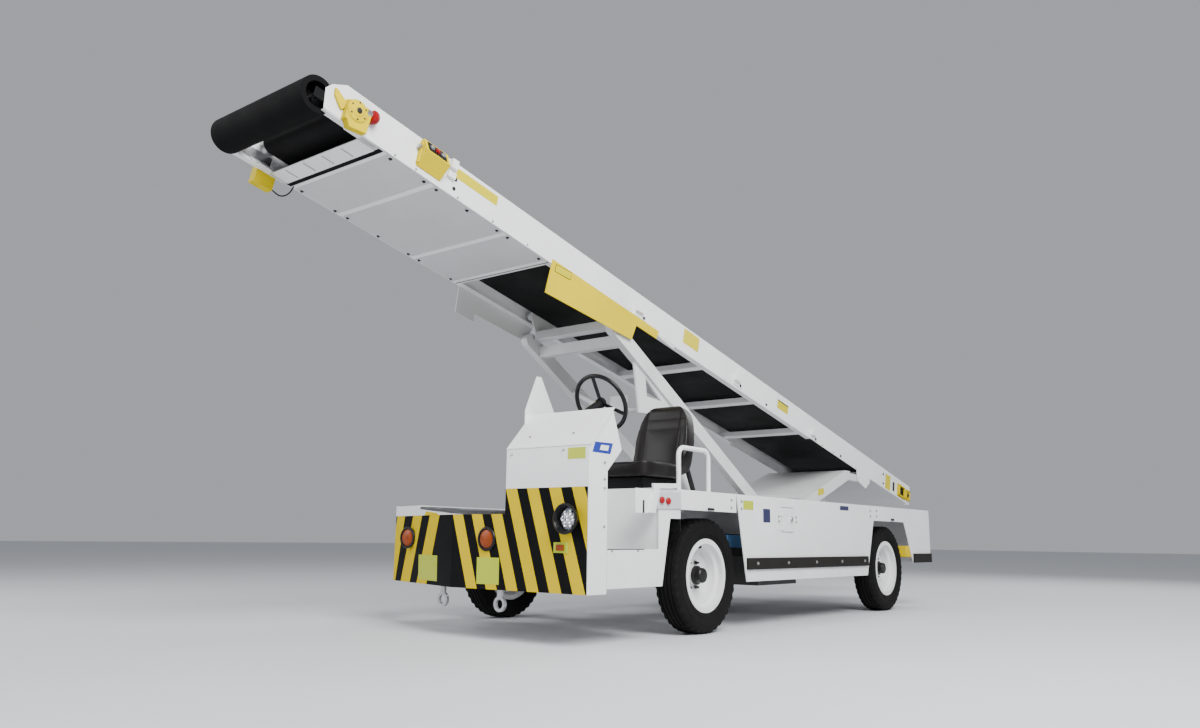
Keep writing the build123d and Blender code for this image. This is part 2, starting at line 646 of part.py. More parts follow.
def cowl():
    solid = side_plate(cowl_outline(), COWL_INNER_X, HALF_WIDTH)
    inner = [(PLATE, SKIRT_BOTTOM - OVERRUN), (COWL_SIDE_Y + OVERRUN, SKIRT_BOTTOM - OVERRUN),
             (COWL_SIDE_Y + OVERRUN, COWL_SIDE_Z - PLATE), (COWL_SIDE_Y - PLATE, COWL_SIDE_Z - PLATE),
             (COWL_SIDE_CORNER_Y - 2 * PLATE, COWL_SIDE_CORNER_Z),
             (HOOD_TOP_Y - PLATE, HOOD_TOP_Z - 2 * PLATE), (PLATE, HOOD_BEND_Z - PLATE)]
    hollow = side_plate(inner, COWL_INNER_X + PLATE, HALF_WIDTH - PLATE)
    foot = block(COWL_INNER_X, FOOT_WELL_INNER_X - PLATE, COWL_SIDE_Y - PLATE, FRAME_FRONT_Y,
                 FRAME_RAIL_BOTTOM, FRAME_RAIL_TOP)
    column_hole = bar(steer_axis(-COLUMN_REACH), steer_axis(0), COLUMN_RADIUS + RUNNING_GAP)
    fin = side_plate([(FIN_FOOT_FRONT_Y, HOOD_BEND_Z), (FIN_FOOT_REAR_Y, HOOD_BEND_Z),
                      (FIN_FOOT_REAR_Y, FIN_WAIST_Z), (FIN_TIP_Y + FIN_TIP_WIDTH, FIN_TOP_Z),
                      (FIN_TIP_Y, FIN_TOP_Z), (FIN_FOOT_FRONT_Y, FIN_WAIST_Z)],
                     COWL_INNER_X, COWL_INNER_X + PLATE)
    return joined([solid - hollow, foot, fin]) - column_hole


def foot_well():
    # Step skirt, floor, inner wall, seat riser and the switch panel behind the opening.
    inner = HALF_WIDTH - PLATE
    start = COWL_SIDE_Y + PANEL_GAP
    skirt = side_plate([(start, STEP_BOTTOM), (STEP_REAR_BOTTOM_Y, STEP_BOTTOM),
                        (STEP_REAR_TOP_Y, SWITCH_PANEL_BOTTOM), (SWITCH_PANEL_REAR_Y, SWITCH_PANEL_BOTTOM),
                        (SWITCH_PANEL_REAR_Y, BODY_TOP), (SWITCH_PANEL_FRONT_Y, BODY_TOP),
                        (SWITCH_PANEL_FRONT_Y, STEP_TOP), (start, STEP_TOP)], inner, HALF_WIDTH)
    floor = block(FOOT_WELL_INNER_X, inner, start, SEAT_RISER_Y, FOOT_WELL_FLOOR, FOOT_WELL_FLOOR + PLATE)
    wall = block(FOOT_WELL_INNER_X - PLATE, FOOT_WELL_INNER_X, start, SWITCH_PANEL_REAR_Y - PLATE,
                 FOOT_WELL_FLOOR, BODY_TOP)
    riser = block(FOOT_WELL_INNER_X, inner, SEAT_RISER_Y, SEAT_RISER_Y + PLATE, FOOT_WELL_FLOOR, BODY_TOP)
    shelf = block(FOOT_WELL_INNER_X, inner, SEAT_RISER_Y, SWITCH_PANEL_REAR_Y - PLATE, BODY_TOP - PLATE, BODY_TOP)
    return joined([skirt, floor, wall, riser, shelf])


def front_bumper():
    sweep_y = BUMPER_SWEEP_Y
    outer = [(COWL_INNER_X - PANEL_GAP, 0), (BUMPER_KNEE_X, 0), (-HALF_WIDTH, sweep_y),
             (-HALF_WIDTH, SIDE_WEDGE_REAR_Y), (-HALF_WIDTH + PLATE, SIDE_WEDGE_REAR_Y),
             (-HALF_WIDTH + PLATE, sweep_y + PLATE), (BUMPER_KNEE_X, PLATE), (COWL_INNER_X - PANEL_GAP, PLATE)]
    wall = plan_plate(outer, SKIRT_BOTTOM, BUMPER_TOP)
    low = SKIRT_BOTTOM - OVERRUN
    slope = side_plate([(sweep_y + BUMPER_LIP, low), (SIDE_WEDGE_REAR_Y + OVERRUN, low),
                        (SIDE_WEDGE_REAR_Y + OVERRUN, SIDE_WEDGE_REAR_TOP),
                        (SIDE_WEDGE_REAR_Y - BUMPER_LIP, SIDE_WEDGE_REAR_TOP)],
                       -HALF_WIDTH - OVERRUN, -HALF_WIDTH + OVERRUN)
    lip = plan_plate([(COWL_INNER_X - PANEL_GAP, 0), (BUMPER_KNEE_X, 0), (-HALF_WIDTH, sweep_y),
                      (-HALF_WIDTH, sweep_y + BUMPER_LIP), (BUMPER_KNEE_X, BUMPER_LIP),
                      (COWL_INNER_X - PANEL_GAP, BUMPER_LIP)], BUMPER_TOP - PLATE, BUMPER_TOP)
    far, near = -FRAME_RAIL_X - FRAME_RAIL_WIDTH / 2, -FRAME_RAIL_X + FRAME_RAIL_WIDTH / 2
    bracket = plan_plate([(far, swept_y(far) + PLATE / 2), (near, swept_y(near) + PLATE / 2),
                          (near, FRAME_FRONT_Y), (far, FRAME_FRONT_Y)],
                         FRAME_RAIL_BOTTOM, FRAME_RAIL_BOTTOM + CROSS_TUBE)
    inner = block(COWL_INNER_X - FRAME_RAIL_WIDTH, COWL_INNER_X - PANEL_GAP, PLATE / 2, FRAME_FRONT_Y,
                  FRAME_RAIL_BOTTOM, FRAME_RAIL_BOTTOM + CROSS_TUBE)
    whole = joined([wall - slope, lip, bracket, inner])
    for x in (AMBER_LEFT_X, AMBER_RIGHT_X):
        far_y = sweep_y + OVERRUN
        whole = whole - bar((x, -OVERRUN, AMBER_Z), (x, far_y, AMBER_Z), AMBER_RADIUS + RUNNING_GAP)
    return whole


def tow_rings():
    # Forged eyes hung behind the bumper's lower edge, each with a plain bore.
    rings = []
    z = SKIRT_BOTTOM - RING_DROP
    for x in (RING_RIGHT_X, RING_LEFT_X):
        face = max(swept_y(x + 2 * RING_WIRE), swept_y(x - 2 * RING_WIRE), 0) + PLATE
        eye = bar((x, face, z), (x, face + RING_WIRE, z), RING_BORE + RING_WIRE)
        neck = block(x - RING_WIRE, x + RING_WIRE, face, face + RING_WIRE, z, SKIRT_BOTTOM + RING_BORE)
        bore = bar((x, face - PLATE, z), (x, face + PLATE + RING_WIRE, z), RING_BORE)
        rings.append((eye + neck) - bore)
    return rings


def front_lamps():
    # Head lamp on the cowl and two round lamps let into the bumper.
    head = bar((HEAD_LAMP_X, 0, HEAD_LAMP_Z), (HEAD_LAMP_X, -LAMP_DEPTH, HEAD_LAMP_Z), LAMP_RADIUS)
    lamps = [head]
    for x in (AMBER_LEFT_X, AMBER_RIGHT_X):
        face = max(swept_y(x), 0)
        lamps.append(bar((x, face - AMBER_PROUD, AMBER_Z), (x, face + AMBER_DEPTH, AMBER_Z), AMBER_RADIUS))
    return lamps


# Axles, steering and wheels

def leaf_springs(axle_y, axle_top):
    pieces = []
    for side in (-1, 1):
        x0 = side * FRAME_RAIL_X - SPRING_WIDTH / 2
        outline = [(axle_y - SPRING_HALF, FRAME_RAIL_BOTTOM), (axle_y - SPRING_HALF, FRAME_RAIL_BOTTOM - SPRING_THICK),
                   (axle_y, axle_top), (axle_y + SPRING_HALF, FRAME_RAIL_BOTTOM - SPRING_THICK),
                   (axle_y + SPRING_HALF, FRAME_RAIL_BOTTOM), (axle_y, axle_top + SPRING_THICK)]
        pieces.append(side_plate(outline, x0, x0 + SPRING_WIDTH))
    return pieces


def front_axle():
    half = AXLE_BEAM / 2
    beam = block(-KINGPIN_X, KINGPIN_X, FRONT_AXLE_Y - half, FRONT_AXLE_Y + half,
                 TYRE_RADIUS - half, TYRE_RADIUS + half)
    pieces = [beam]
    for side in (-1, 1):
        x = side * KINGPIN_X
        pieces.append(bar((x, FRONT_AXLE_Y, TYRE_RADIUS - half), (x, FRONT_AXLE_Y, TYRE_RADIUS + half), half))
        pieces.append(bar((x, FRONT_AXLE_Y, TYRE_RADIUS - 2 * half), (x, FRONT_AXLE_Y, TYRE_RADIUS + 2 * half),
                          KINGPIN_RADIUS))
    return joined(pieces + leaf_springs(FRONT_AXLE_Y, TYRE_RADIUS + half - 2 * PLATE))


def knuckle(side):
    half = AXLE_BEAM / 2
    x, face = side * KINGPIN_X, side * (KINGPIN_X + half + 2 * PLATE)
    pieces = []
    for z0 in (TYRE_RADIUS - 2 * half, TYRE_RADIUS + half + RUNNING_GAP):
        z1 = z0 + half - RUNNING_GAP
        cheek = bar((x, FRONT_AXLE_Y, z0), (x, FRONT_AXLE_Y, z1), half)
        arm = block(min(x, face + side * PLATE), max(x, face + side * PLATE), FRONT_AXLE_Y - half,
                    FRONT_AXLE_Y + half, z0, z1)
        pieces.append(cheek + arm)
    back = block(min(face, face + side * 2 * PLATE), max(face, face + side * 2 * PLATE), FRONT_AXLE_Y - half,
                 FRONT_AXLE_Y + half, TYRE_RADIUS - 2 * half, TYRE_RADIUS + 2 * half)
    drum = cross_bar(face + side * 2 * PLATE, side * HUB_FACE_X, FRONT_AXLE_Y, TYRE_RADIUS, DRUM_RADIUS)
    spindle = cross_bar(face, side * WHEEL_X, FRONT_AXLE_Y, TYRE_RADIUS, HUB_BORE - RUNNING_GAP)
    steer_arm = block(x - half / 2, x + half / 2, FRONT_AXLE_Y, FRONT_AXLE_Y + TIE_ROD_REACH + half / 2,
                      TYRE_RADIUS - 2 * half, TYRE_RADIUS - 2 * half + half / 2)
    hole = bar((x, FRONT_AXLE_Y, 0), (x, FRONT_AXLE_Y, BODY_TOP), KINGPIN_RADIUS + RUNNING_GAP)
    arm_end = FRONT_AXLE_Y + TIE_ROD_REACH
    eye_hole = bar((x, arm_end, 0), (x, arm_end, BODY_TOP), TIE_ROD_RADIUS / 2 + RUNNING_GAP)
    return joined(pieces + [back, drum, spindle, steer_arm]) - hole - eye_hole


def tie_rod():
    y, z = FRONT_AXLE_Y + TIE_ROD_REACH, TYRE_RADIUS - AXLE_BEAM - TIE_ROD_RADIUS - RUNNING_GAP
    rod = cross_bar(-KINGPIN_X, KINGPIN_X, y, z, TIE_TUBE_RADIUS)
    eyes = []
    for side in (-1, 1):
        eyes.append(bar((side * KINGPIN_X, y, z - TIE_ROD_RADIUS), (side * KINGPIN_X, y, z + TIE_ROD_RADIUS),
                        TIE_ROD_RADIUS * 3 / 2))
        pin_top = z + AXLE_BEAM / 2 + TIE_ROD_RADIUS
        eyes.append(bar((side * KINGPIN_X, y, z), (side * KINGPIN_X, y, pin_top), TIE_ROD_RADIUS / 2))
    return joined([rod] + eyes)


def rear_axle():
    tube = cross_bar(-HUB_FACE_X, HUB_FACE_X, REAR_AXLE_Y, TYRE_RADIUS, AXLE_TUBE_RADIUS)
    spindle = cross_bar(-WHEEL_X, WHEEL_X, REAR_AXLE_Y, TYRE_RADIUS, HUB_BORE - RUNNING_GAP)
    drums = []
    for side in (-1, 1):
        drums.append(cross_bar(side * (HUB_FACE_X - DRUM_WIDTH), side * HUB_FACE_X, REAR_AXLE_Y, TYRE_RADIUS,
                               DRUM_RADIUS))
    case = Pos(0, REAR_AXLE_Y, TYRE_RADIUS) * Sphere(DIFF_RADIUS)
    nose = bar((0, REAR_AXLE_Y - DIFF_RADIUS * 3 / 2, TYRE_RADIUS), (0, REAR_AXLE_Y, TYRE_RADIUS), DIFF_RADIUS / 2)
    springs = leaf_springs(REAR_AXLE_Y, TYRE_RADIUS + AXLE_TUBE_RADIUS - 2 * PLATE)
    return joined([tube, spindle, case, nose] + drums + springs)


def driveline():
    mid_z = TYRE_RADIUS
    engine = block(-ENGINE_HALF, ENGINE_HALF, ENGINE_FRONT_Y, ENGINE_REAR_Y, ENGINE_BOTTOM, ENGINE_TOP)
    bearers = []
    for y in (ENGINE_FRONT_Y + CROSS_TUBE, ENGINE_REAR_Y - 2 * CROSS_TUBE):
        bearers.append(block(-FRAME_RAIL_X + FRAME_RAIL_WIDTH / 2, FRAME_RAIL_X - FRAME_RAIL_WIDTH / 2, y,
                             y + CROSS_TUBE, FRAME_RAIL_BOTTOM, FRAME_RAIL_BOTTOM + CROSS_TUBE / 2))
    gearbox = bar((0, ENGINE_REAR_Y, mid_z), (0, GEARBOX_REAR_Y, mid_z), GEARBOX_RADIUS)
    shaft = bar((0, GEARBOX_REAR_Y, mid_z), (0, REAR_AXLE_Y - DIFF_RADIUS * 3 / 2, mid_z), SHAFT_RADIUS)
    return joined([engine, gearbox, shaft] + bearers)


def tank():
    body = block(TANK_INNER_X, TANK_OUTER_X, TANK_FRONT_Y, TANK_REAR_Y, TANK_BOTTOM, TANK_TOP)
    strap = block(FRAME_RAIL_X + FRAME_RAIL_WIDTH / 2, TANK_INNER_X, TANK_FRONT_Y + CROSS_TUBE,
                  TANK_REAR_Y - CROSS_TUBE, FRAME_RAIL_BOTTOM, TANK_TOP - PLATE)
    return body + strap


def wheel_rim(side, axle_y):
    # Deep-dish wheel: radius against distance outwards from the wheel's middle plane.
    seat, well = RIM_BEAD, RIM_BEAD * WELL_SHARE
    outline = [(HUB_BORE, -DISH - HUB_BACK), (HUB_RADIUS, -DISH - HUB_BACK), (well - PLATE, -DISH - PLATE),
               (seat - PLATE, -RIM_HALF), (RIM_RADIUS, -RIM_HALF), (RIM_RADIUS, -RIM_HALF + PLATE),
               (seat, -RIM_HALF + PLATE), (seat, -DISH), (well, -DISH + HUB_BACK), (well, DISH - HUB_BACK),
               (seat, DISH), (seat, RIM_HALF - PLATE), (RIM_RADIUS, RIM_HALF - PLATE), (RIM_RADIUS, RIM_HALF),
               (seat - PLATE, RIM_HALF), (seat - PLATE, DISH), (well - PLATE, DISH - HUB_BACK),
               (well - PLATE, -DISH + PLATE), (HUB_RADIUS * HUB_SLOPE_SHARE, -DISH), (HUB_RADIUS, -DISH), (HUB_RADIUS, 0),
               (HUB_BORE, 0)]
    wire = Polyline([(r, 0, t) for r, t in outline], close=True)
    turned = revolve(make_face(wire), Axis.Z)
    return Pos(side * WHEEL_X, axle_y, TYRE_RADIUS) * (Rot(Y=side * 90) * turned)


def tyre(side, axle_y):
    half = TYRE_WIDTH / 2
    bead, lip = RIM_BEAD + RUNNING_GAP, RIM_RADIUS + 2 * PLATE
    seat = RIM_HALF - PLATE - RUNNING_GAP
    shoulder = TYRE_RADIUS * SHOULDER_SHARE
    right = [(bead, seat), (RIM_RADIUS + RUNNING_GAP, seat), (lip, half * LIP_SHARE),
             (TYRE_RADIUS * WALL_SHARE, half), (TYRE_RADIUS * LIP_SHARE, half * BULGE_SHARE),
             (shoulder, half * LIP_SHARE), (TYRE_RADIUS, half * TREAD_SHARE)]
    outline = right + [(r, -t) for r, t in reversed(right)]
    wire = Polyline([(r, 0, t) for r, t in outline], close=True)
    turned = revolve(make_face(wire), Axis.Z)
    return Pos(side * WHEEL_X, axle_y, TYRE_RADIUS) * (Rot(Y=side * 90) * turned)


# Driver's place

def seat_base():
    legs = block(SEAT_X - SEAT_LEG_HALF, SEAT_X + SEAT_LEG_HALF, SEAT_LEG_FRONT_Y, SEAT_LEG_REAR_Y,
                 BODY_TOP, SEAT_BASE_TOP)
    near, far = SEAT_REAR_Y + POST_NEAR, SEAT_REAR_Y + POST_FAR
    x0, x1 = SEAT_X - SEAT_HALF / 2, SEAT_X + SEAT_HALF / 2
    tail = block(x0, x1, SEAT_LEG_REAR_Y - PLATE, far, SEAT_BASE_TOP - PLATE, SEAT_BASE_TOP)
    slope = tan(radians(BACK_RAKE))
    foot = BACK_FOOT - RUNNING_GAP
    post = side_plate([(near, SEAT_BASE_TOP - PLATE), (far, SEAT_BASE_TOP - PLATE),
                       (far, foot - POST_FAR * slope), (near, foot - POST_NEAR * slope)], x0, x1)
    return joined([legs, tail, post])


def seat_cushion():
    pad = block(SEAT_X - SEAT_HALF, SEAT_X + SEAT_HALF, SEAT_FRONT_Y, SEAT_REAR_Y, SEAT_BASE_TOP, CUSHION_TOP)
    return fillet(pad.edges(), CUSHION_ROUND)


def seat_back():
    pad = block(SEAT_X - BACK_HALF, SEAT_X + BACK_HALF, 0, BACK_THICK, 0, BACK_HEIGHT)
    pad = fillet(pad.edges(), BACK_ROUND)
    return Pos(0, SEAT_REAR_Y + RUNNING_GAP, BACK_FOOT) * (Rot(X=-BACK_RAKE) * pad)


def steer_axis(distance):
    rake = radians(STEER_RAKE)
    return (STEER_X, STEER_HUB_Y + distance * cos(rake), STEER_HUB_Z + distance * sin(rake))


def steering_column():
    return bar(steer_axis(-COLUMN_REACH), steer_axis(-STEER_RIM - RUNNING_GAP), COLUMN_RADIUS)


def steering_wheel():
    plane = Plane(origin=steer_axis(0), x_dir=(1, 0, 0), z_dir=Vector(*steer_axis(1)) - Vector(*steer_axis(0)))
    ring = plane * Torus(STEER_RADIUS - STEER_RIM, STEER_RIM)
    hub = plane * Cylinder(STEER_HUB_RADIUS, 2 * STEER_RIM)
    reach = STEER_RADIUS - STEER_RIM
    spokes = []
    for angle in (30, 150, 270):
        spoke = Pos(reach / 2, 0, 0) * Box(reach, SPOKE_WIDTH, SPOKE_THICK)
        spokes.append(plane * (Rot(Z=angle) * spoke))
    return joined([ring, hub] + spokes)


def grab_rail():
    path = FilletPolyline((GRAB_X, GRAB_FRONT_Y, BODY_TOP), (GRAB_X, GRAB_FRONT_Y, GRAB_TOP),
                          (GRAB_X, GRAB_REAR_Y, GRAB_TOP), (GRAB_X, GRAB_REAR_Y, BODY_TOP), radius=GRAB_BEND)
    ring = Plane(origin=(GRAB_X, GRAB_FRONT_Y, BODY_TOP), z_dir=(0, 0, 1)) * Circle(GRAB_RADIUS)
    return sweep(ring, path)


# Conveyor boom

def boom_rail(side):
    # A bent channel whose lower flange is open over the rear arms.
    outer = BOOM_LEFT_X if side > 0 else BOOM_RIGHT_X
    front = BOOM_LENGTH - NOSE_CUT
    profile = [(0, 0), (-front, 0), (-BOOM_LENGTH, NOSE_CUT), (-BOOM_LENGTH, NOSE_SHOULDER),
               (-front, BOOM_DEPTH), (0, BOOM_DEPTH)]
    x_in = outer - side * BOOM_WEB
    web = side_plate(profile, min(outer, x_in), max(outer, x_in))
    x_fl = outer - side * BOOM_FLANGE
    high = boom_block(x_in, x_fl, 0, front, BOOM_DEPTH - BOOM_WEB, BOOM_DEPTH)
    low_rear = boom_block(x_in, x_fl, 0, FLANGE_GAP_REAR_U, 0, BOOM_WEB)
    low_front = boom_block(x_in, x_fl, FLANGE_GAP_FRONT_U, front, 0, BOOM_WEB)
    return joined([web, high, low_rear, low_front])


def roller_track(side):
    # The lift's rollers run under this flange, beside the belt.
    web = (BOOM_LEFT_X if side > 0 else BOOM_RIGHT_X) - side * BOOM_WEB
    inner = web - side * TRACK_WIDTH
    return boom_block(web, inner, TRACK_REAR_U, TRACK_FRONT_U, TRACK_LOW, TRACK_LOW + BOOM_WEB)


def boom_lug(side):
    # The tooth-shaped lug that hangs from a rail and takes the rear lift's pin.
    outer = BOOM_LEFT_X if side > 0 else BOOM_RIGHT_X
    x_in = outer - side * 2 * BOOM_WEB
    x0, x1 = min(outer, x_in), max(outer, x_in)
    outline = [(-LUG_FRONT_U, 0), (-REAR_PIN_U - LUG_ROUND, -REAR_PIN_DROP), (-REAR_PIN_U, -REAR_PIN_DROP - LUG_ROUND),
               (-LUG_TOOTH_U, -LUG_DEPTH), (-LUG_REAR_U, -LUG_REAR_DROP), (-LUG_REAR_U, 0)]
    boss = cross_bar(x0, x1, -REAR_PIN_U, -REAR_PIN_DROP, LUG_ROUND)
    hole = cross_bar(x0 - OVERRUN, x1 + OVERRUN, -REAR_PIN_U, -REAR_PIN_DROP, LIFT_SHAFT / 2 + RUNNING_GAP)
    return (side_plate(outline, x0, x1) + boss) - hole


def boom_rails():
    pieces = []
    for side in (-1, 1):
        pieces.append(on_boom(joined([boom_rail(side), roller_track(side), boom_lug(side)])))
    return pieces


def boom_frame():
    # The belt bed and the cross members that tie the rails.
    pieces = []
    x0, x1 = BOOM_RIGHT_X + BOOM_WEB, BOOM_LEFT_X - BOOM_WEB
    for u in CROSS_ROWS_U:
        pieces.append(boom_block(x0, x1, u - CROSS_WIDTH / 2, u + CROSS_WIDTH / 2, BOOM_WEB, CROSS_DEPTH))
    bed_top = PULLEY_HEIGHT + PULLEY_RADIUS
    pieces.append(boom_block(x0, x1, TAIL_PULLEY_U + 2 * PULLEY_RADIUS, HEAD_PULLEY_U - 2 * PULLEY_RADIUS,
                             bed_top - 2 * BED_THICK, bed_top - BED_THICK))
    return [on_boom(piece) for piece in pieces]


def belly_panels():
    x0, x1 = BOOM_RIGHT_X + 2 * BOOM_WEB, BOOM_LEFT_X - 2 * BOOM_WEB
    pieces = []
    for rear, front in zip(BELLY_SEAMS_U, BELLY_SEAMS_U[1:]):
        pieces.append(boom_block(x0, x1, rear, front - PANEL_GAP, -BELLY_THICK, 0))
    pieces.append(boom_block(x0, x1, TAIL_PAN_REAR_U, TAIL_PAN_FRONT_U, -BELLY_THICK, 0))
    return [on_boom(piece) for piece in pieces]


def belt():
    x0, x1 = BOOM_RIGHT_X + BELT_INSET, BOOM_LEFT_X - BELT_INSET
    def loop(radius, a, b):
        runs = [boom_block(a, b, TAIL_PULLEY_U, HEAD_PULLEY_U, PULLEY_HEIGHT - radius, PULLEY_HEIGHT + radius)]
        for u in (TAIL_PULLEY_U, HEAD_PULLEY_U):
            runs.append(cross_bar(a, b, -u, PULLEY_HEIGHT, radius))
        return joined(runs)
    return on_boom(loop(PULLEY_RADIUS + BELT_THICK, x0, x1) - loop(PULLEY_RADIUS, x0 - OVERRUN, x1 + OVERRUN))


def belt_pulleys():
    x0, x1 = BOOM_RIGHT_X + BOOM_WEB, BOOM_LEFT_X - BOOM_WEB
    pieces = []
    for u in (TAIL_PULLEY_U, HEAD_PULLEY_U):
        drum = cross_bar(x0 + BELT_INSET / 2, x1 - BELT_INSET / 2, -u, PULLEY_HEIGHT, PULLEY_RADIUS - RUNNING_GAP)
        axle = cross_bar(x0, x1, -u, PULLEY_HEIGHT, PULLEY_AXLE_RADIUS)
        pieces.append(on_boom(drum + axle))
    return pieces


def bump_roller():
    x0, x1 = BOOM_RIGHT_X + 3 * BOOM_WEB, BOOM_LEFT_X - 3 * BOOM_WEB
    foam = cross_bar(x0, x1, -BUMP_U, BUMP_V, BUMP_RADIUS)
    foam = foam - cross_bar(x0 - OVERRUN, x1 + OVERRUN, -BUMP_U, BUMP_V, BUMP_BORE)
    discs = []
    for x in (x0 + BUMP_DISC_INSET, x1 - BUMP_DISC_INSET - BUMP_DISC):
        discs.append(cross_bar(x, x + BUMP_DISC, -BUMP_U, BUMP_V, BUMP_BORE))
    hole = cross_bar(x0 - OVERRUN, x1 + OVERRUN, -BUMP_U, BUMP_V, BUMP_SHAFT + RUNNING_GAP)
    return on_boom(joined([foam] + discs) - hole)


def bump_spindle():
    x0, x1 = BOOM_RIGHT_X + BOOM_WEB, BOOM_LEFT_X - BOOM_WEB
    pieces = [cross_bar(x0, x1, -BUMP_U, BUMP_V, BUMP_SHAFT)]
    for x in (x0, x1 - BOOM_WEB):
        pieces.append(boom_block(x, x + BOOM_WEB, BOOM_LENGTH - 2 * NOSE_CUT, BUMP_U + 2 * BUMP_SHAFT,
                                 BUMP_V - 2 * BUMP_SHAFT, BUMP_V + 2 * BUMP_SHAFT))
    return on_boom(joined(pieces))


def boom_guards():
    def plate(outline, x0):
        return on_boom(side_plate([(-u, v) for u, v in outline], x0, x0 + GUARD_THICK))
    return [plate(NEAR_GUARD, BOOM_LEFT_X), plate(STEP_PLATE, BOOM_LEFT_X), plate(FAR_GUARD, BOOM_RIGHT_X - GUARD_THICK)]


def boom_controls():
    face = BOOM_LEFT_X
    panel = front_plate([(face + x, v) for x, v in CONTROL_SECTION], -CONTROL_FRONT_U, -CONTROL_REAR_U)
    stop = boom_block(face, face + STOP_REACH, STOP_REAR_U, STOP_FRONT_U, STOP_BOTTOM, STOP_TOP)
    button = cross_bar(face, face + STOP_REACH, -STOP_BUTTON_U, STOP_BUTTON_V, STOP_BUTTON_RADIUS)
    far_box = boom_block(BOOM_RIGHT_X - FAR_BOX_REACH, BOOM_RIGHT_X, FAR_BOX_REAR_U, FAR_BOX_FRONT_U,
                         FAR_BOX_BOTTOM, FAR_BOX_TOP)
    tail = boom_block(face, face + TAIL_PLATE_THICK, TAIL_PLATE_REAR_U, TAIL_PLATE_FRONT_U,
                      TAIL_PLATE_BOTTOM, TAIL_PLATE_TOP)
    return [on_boom(piece) for piece in (panel, stop, button, far_box, tail)]


# Lift arms

def arm_ear(x0, x1):
    # The ear on an arm's inner edge, square to the arm, up to the carriage pin.
    y, z = CARRIAGE_CENTRE
    run = (FRONT_TIP_Y - FRONT_LIFT_Y, FRONT_TIP_Z - FRONT_LIFT_Z)
    share = 2 * EAR_HALF / hypot(*run)
    foot = (y + run[1] * share * -1, z + run[0] * share)
    return side_beam(foot, (y, z), x0, x1, 2 * EAR_HALF) + cross_bar(x0, x1, y, z, EAR_HALF)


def front_lift():
    tip = (FRONT_TIP_Y, FRONT_TIP_Z)
    half = ARM_WIDTH / 2
    pieces = []
    for x, inward in ((ARM_LEFT_X, -1), (ARM_RIGHT_X, 1)):
        arm = side_beam(FRONT_PIN, tip, x - half, x + half, ARM_DEPTH)
        boss = cross_bar(x - half, x + half, FRONT_LIFT_Y, FRONT_LIFT_Z, ARM_DEPTH / 2)
        cap = cross_bar(x - half, x + half, tip[0], tip[1], ARM_DEPTH / 2)
        hole = cross_bar(x - ARM_WIDTH, x + ARM_WIDTH, FRONT_LIFT_Y, FRONT_LIFT_Z, LIFT_SHAFT / 2 + RUNNING_GAP)
        face = x + inward * half
        deep = face - inward * EAR_WIDTH
        reach = face + inward * (CARRIAGE_GAP + CARRIAGE_PLATE)
        pin = cross_bar(face, reach, CARRIAGE_CENTRE[0], CARRIAGE_CENTRE[1], CARRIAGE_PIN)
        pieces.append((arm + boss - hole) + cap + arm_ear(min(face, deep), max(face, deep)) + pin)
    tube = TIP_TUBE / 2
    pieces.append(block(ARM_RIGHT_X, ARM_LEFT_X, TIP_TUBE_Y - tube, TIP_TUBE_Y + tube, TIP_TUBE_Z - tube, TIP_TUBE_Z + tube))
    pieces.append(cross_bar(ARM_RIGHT_X, ARM_LEFT_X, FOOT_TUBE_Y, FOOT_TUBE_Z, CROSS_ROUND))
    return joined(pieces + gusset_pieces())


def gusset_pieces():
    x0, x1 = ARM_LEFT_X - GUSSET_THICK / 2, ARM_LEFT_X + GUSSET_THICK / 2
    plate = side_plate(GUSSET_OUTLINE, x0, x1) - side_plate(GUSSET_WINDOW, x0 - OVERRUN, x1 + OVERRUN)
    boss = cross_bar(x0 - GUSSET_CHEEK, x1, FRONT_CYL_EYE_Y, FRONT_CYL_EYE_Z, GUSSET_BOSS)
    tie = cross_bar(TIE_END_X, x0, TIE_Y, TIE_Z, TIE_RADIUS)
    switch = block(SWITCH_PLATE_RIGHT_X, SWITCH_PLATE_LEFT_X, TIE_Y - PLATE / 2, TIE_Y + PLATE / 2, TIE_Z, SWITCH_PLATE_TOP)
    brace = bar((BRACE_FOOT_X, TIE_Y, TIE_Z), (ARM_RIGHT_X, BRACE_HEAD_Y, BRACE_HEAD_Z), TIE_RADIUS)
    return [plate, boss, tie, switch, brace]


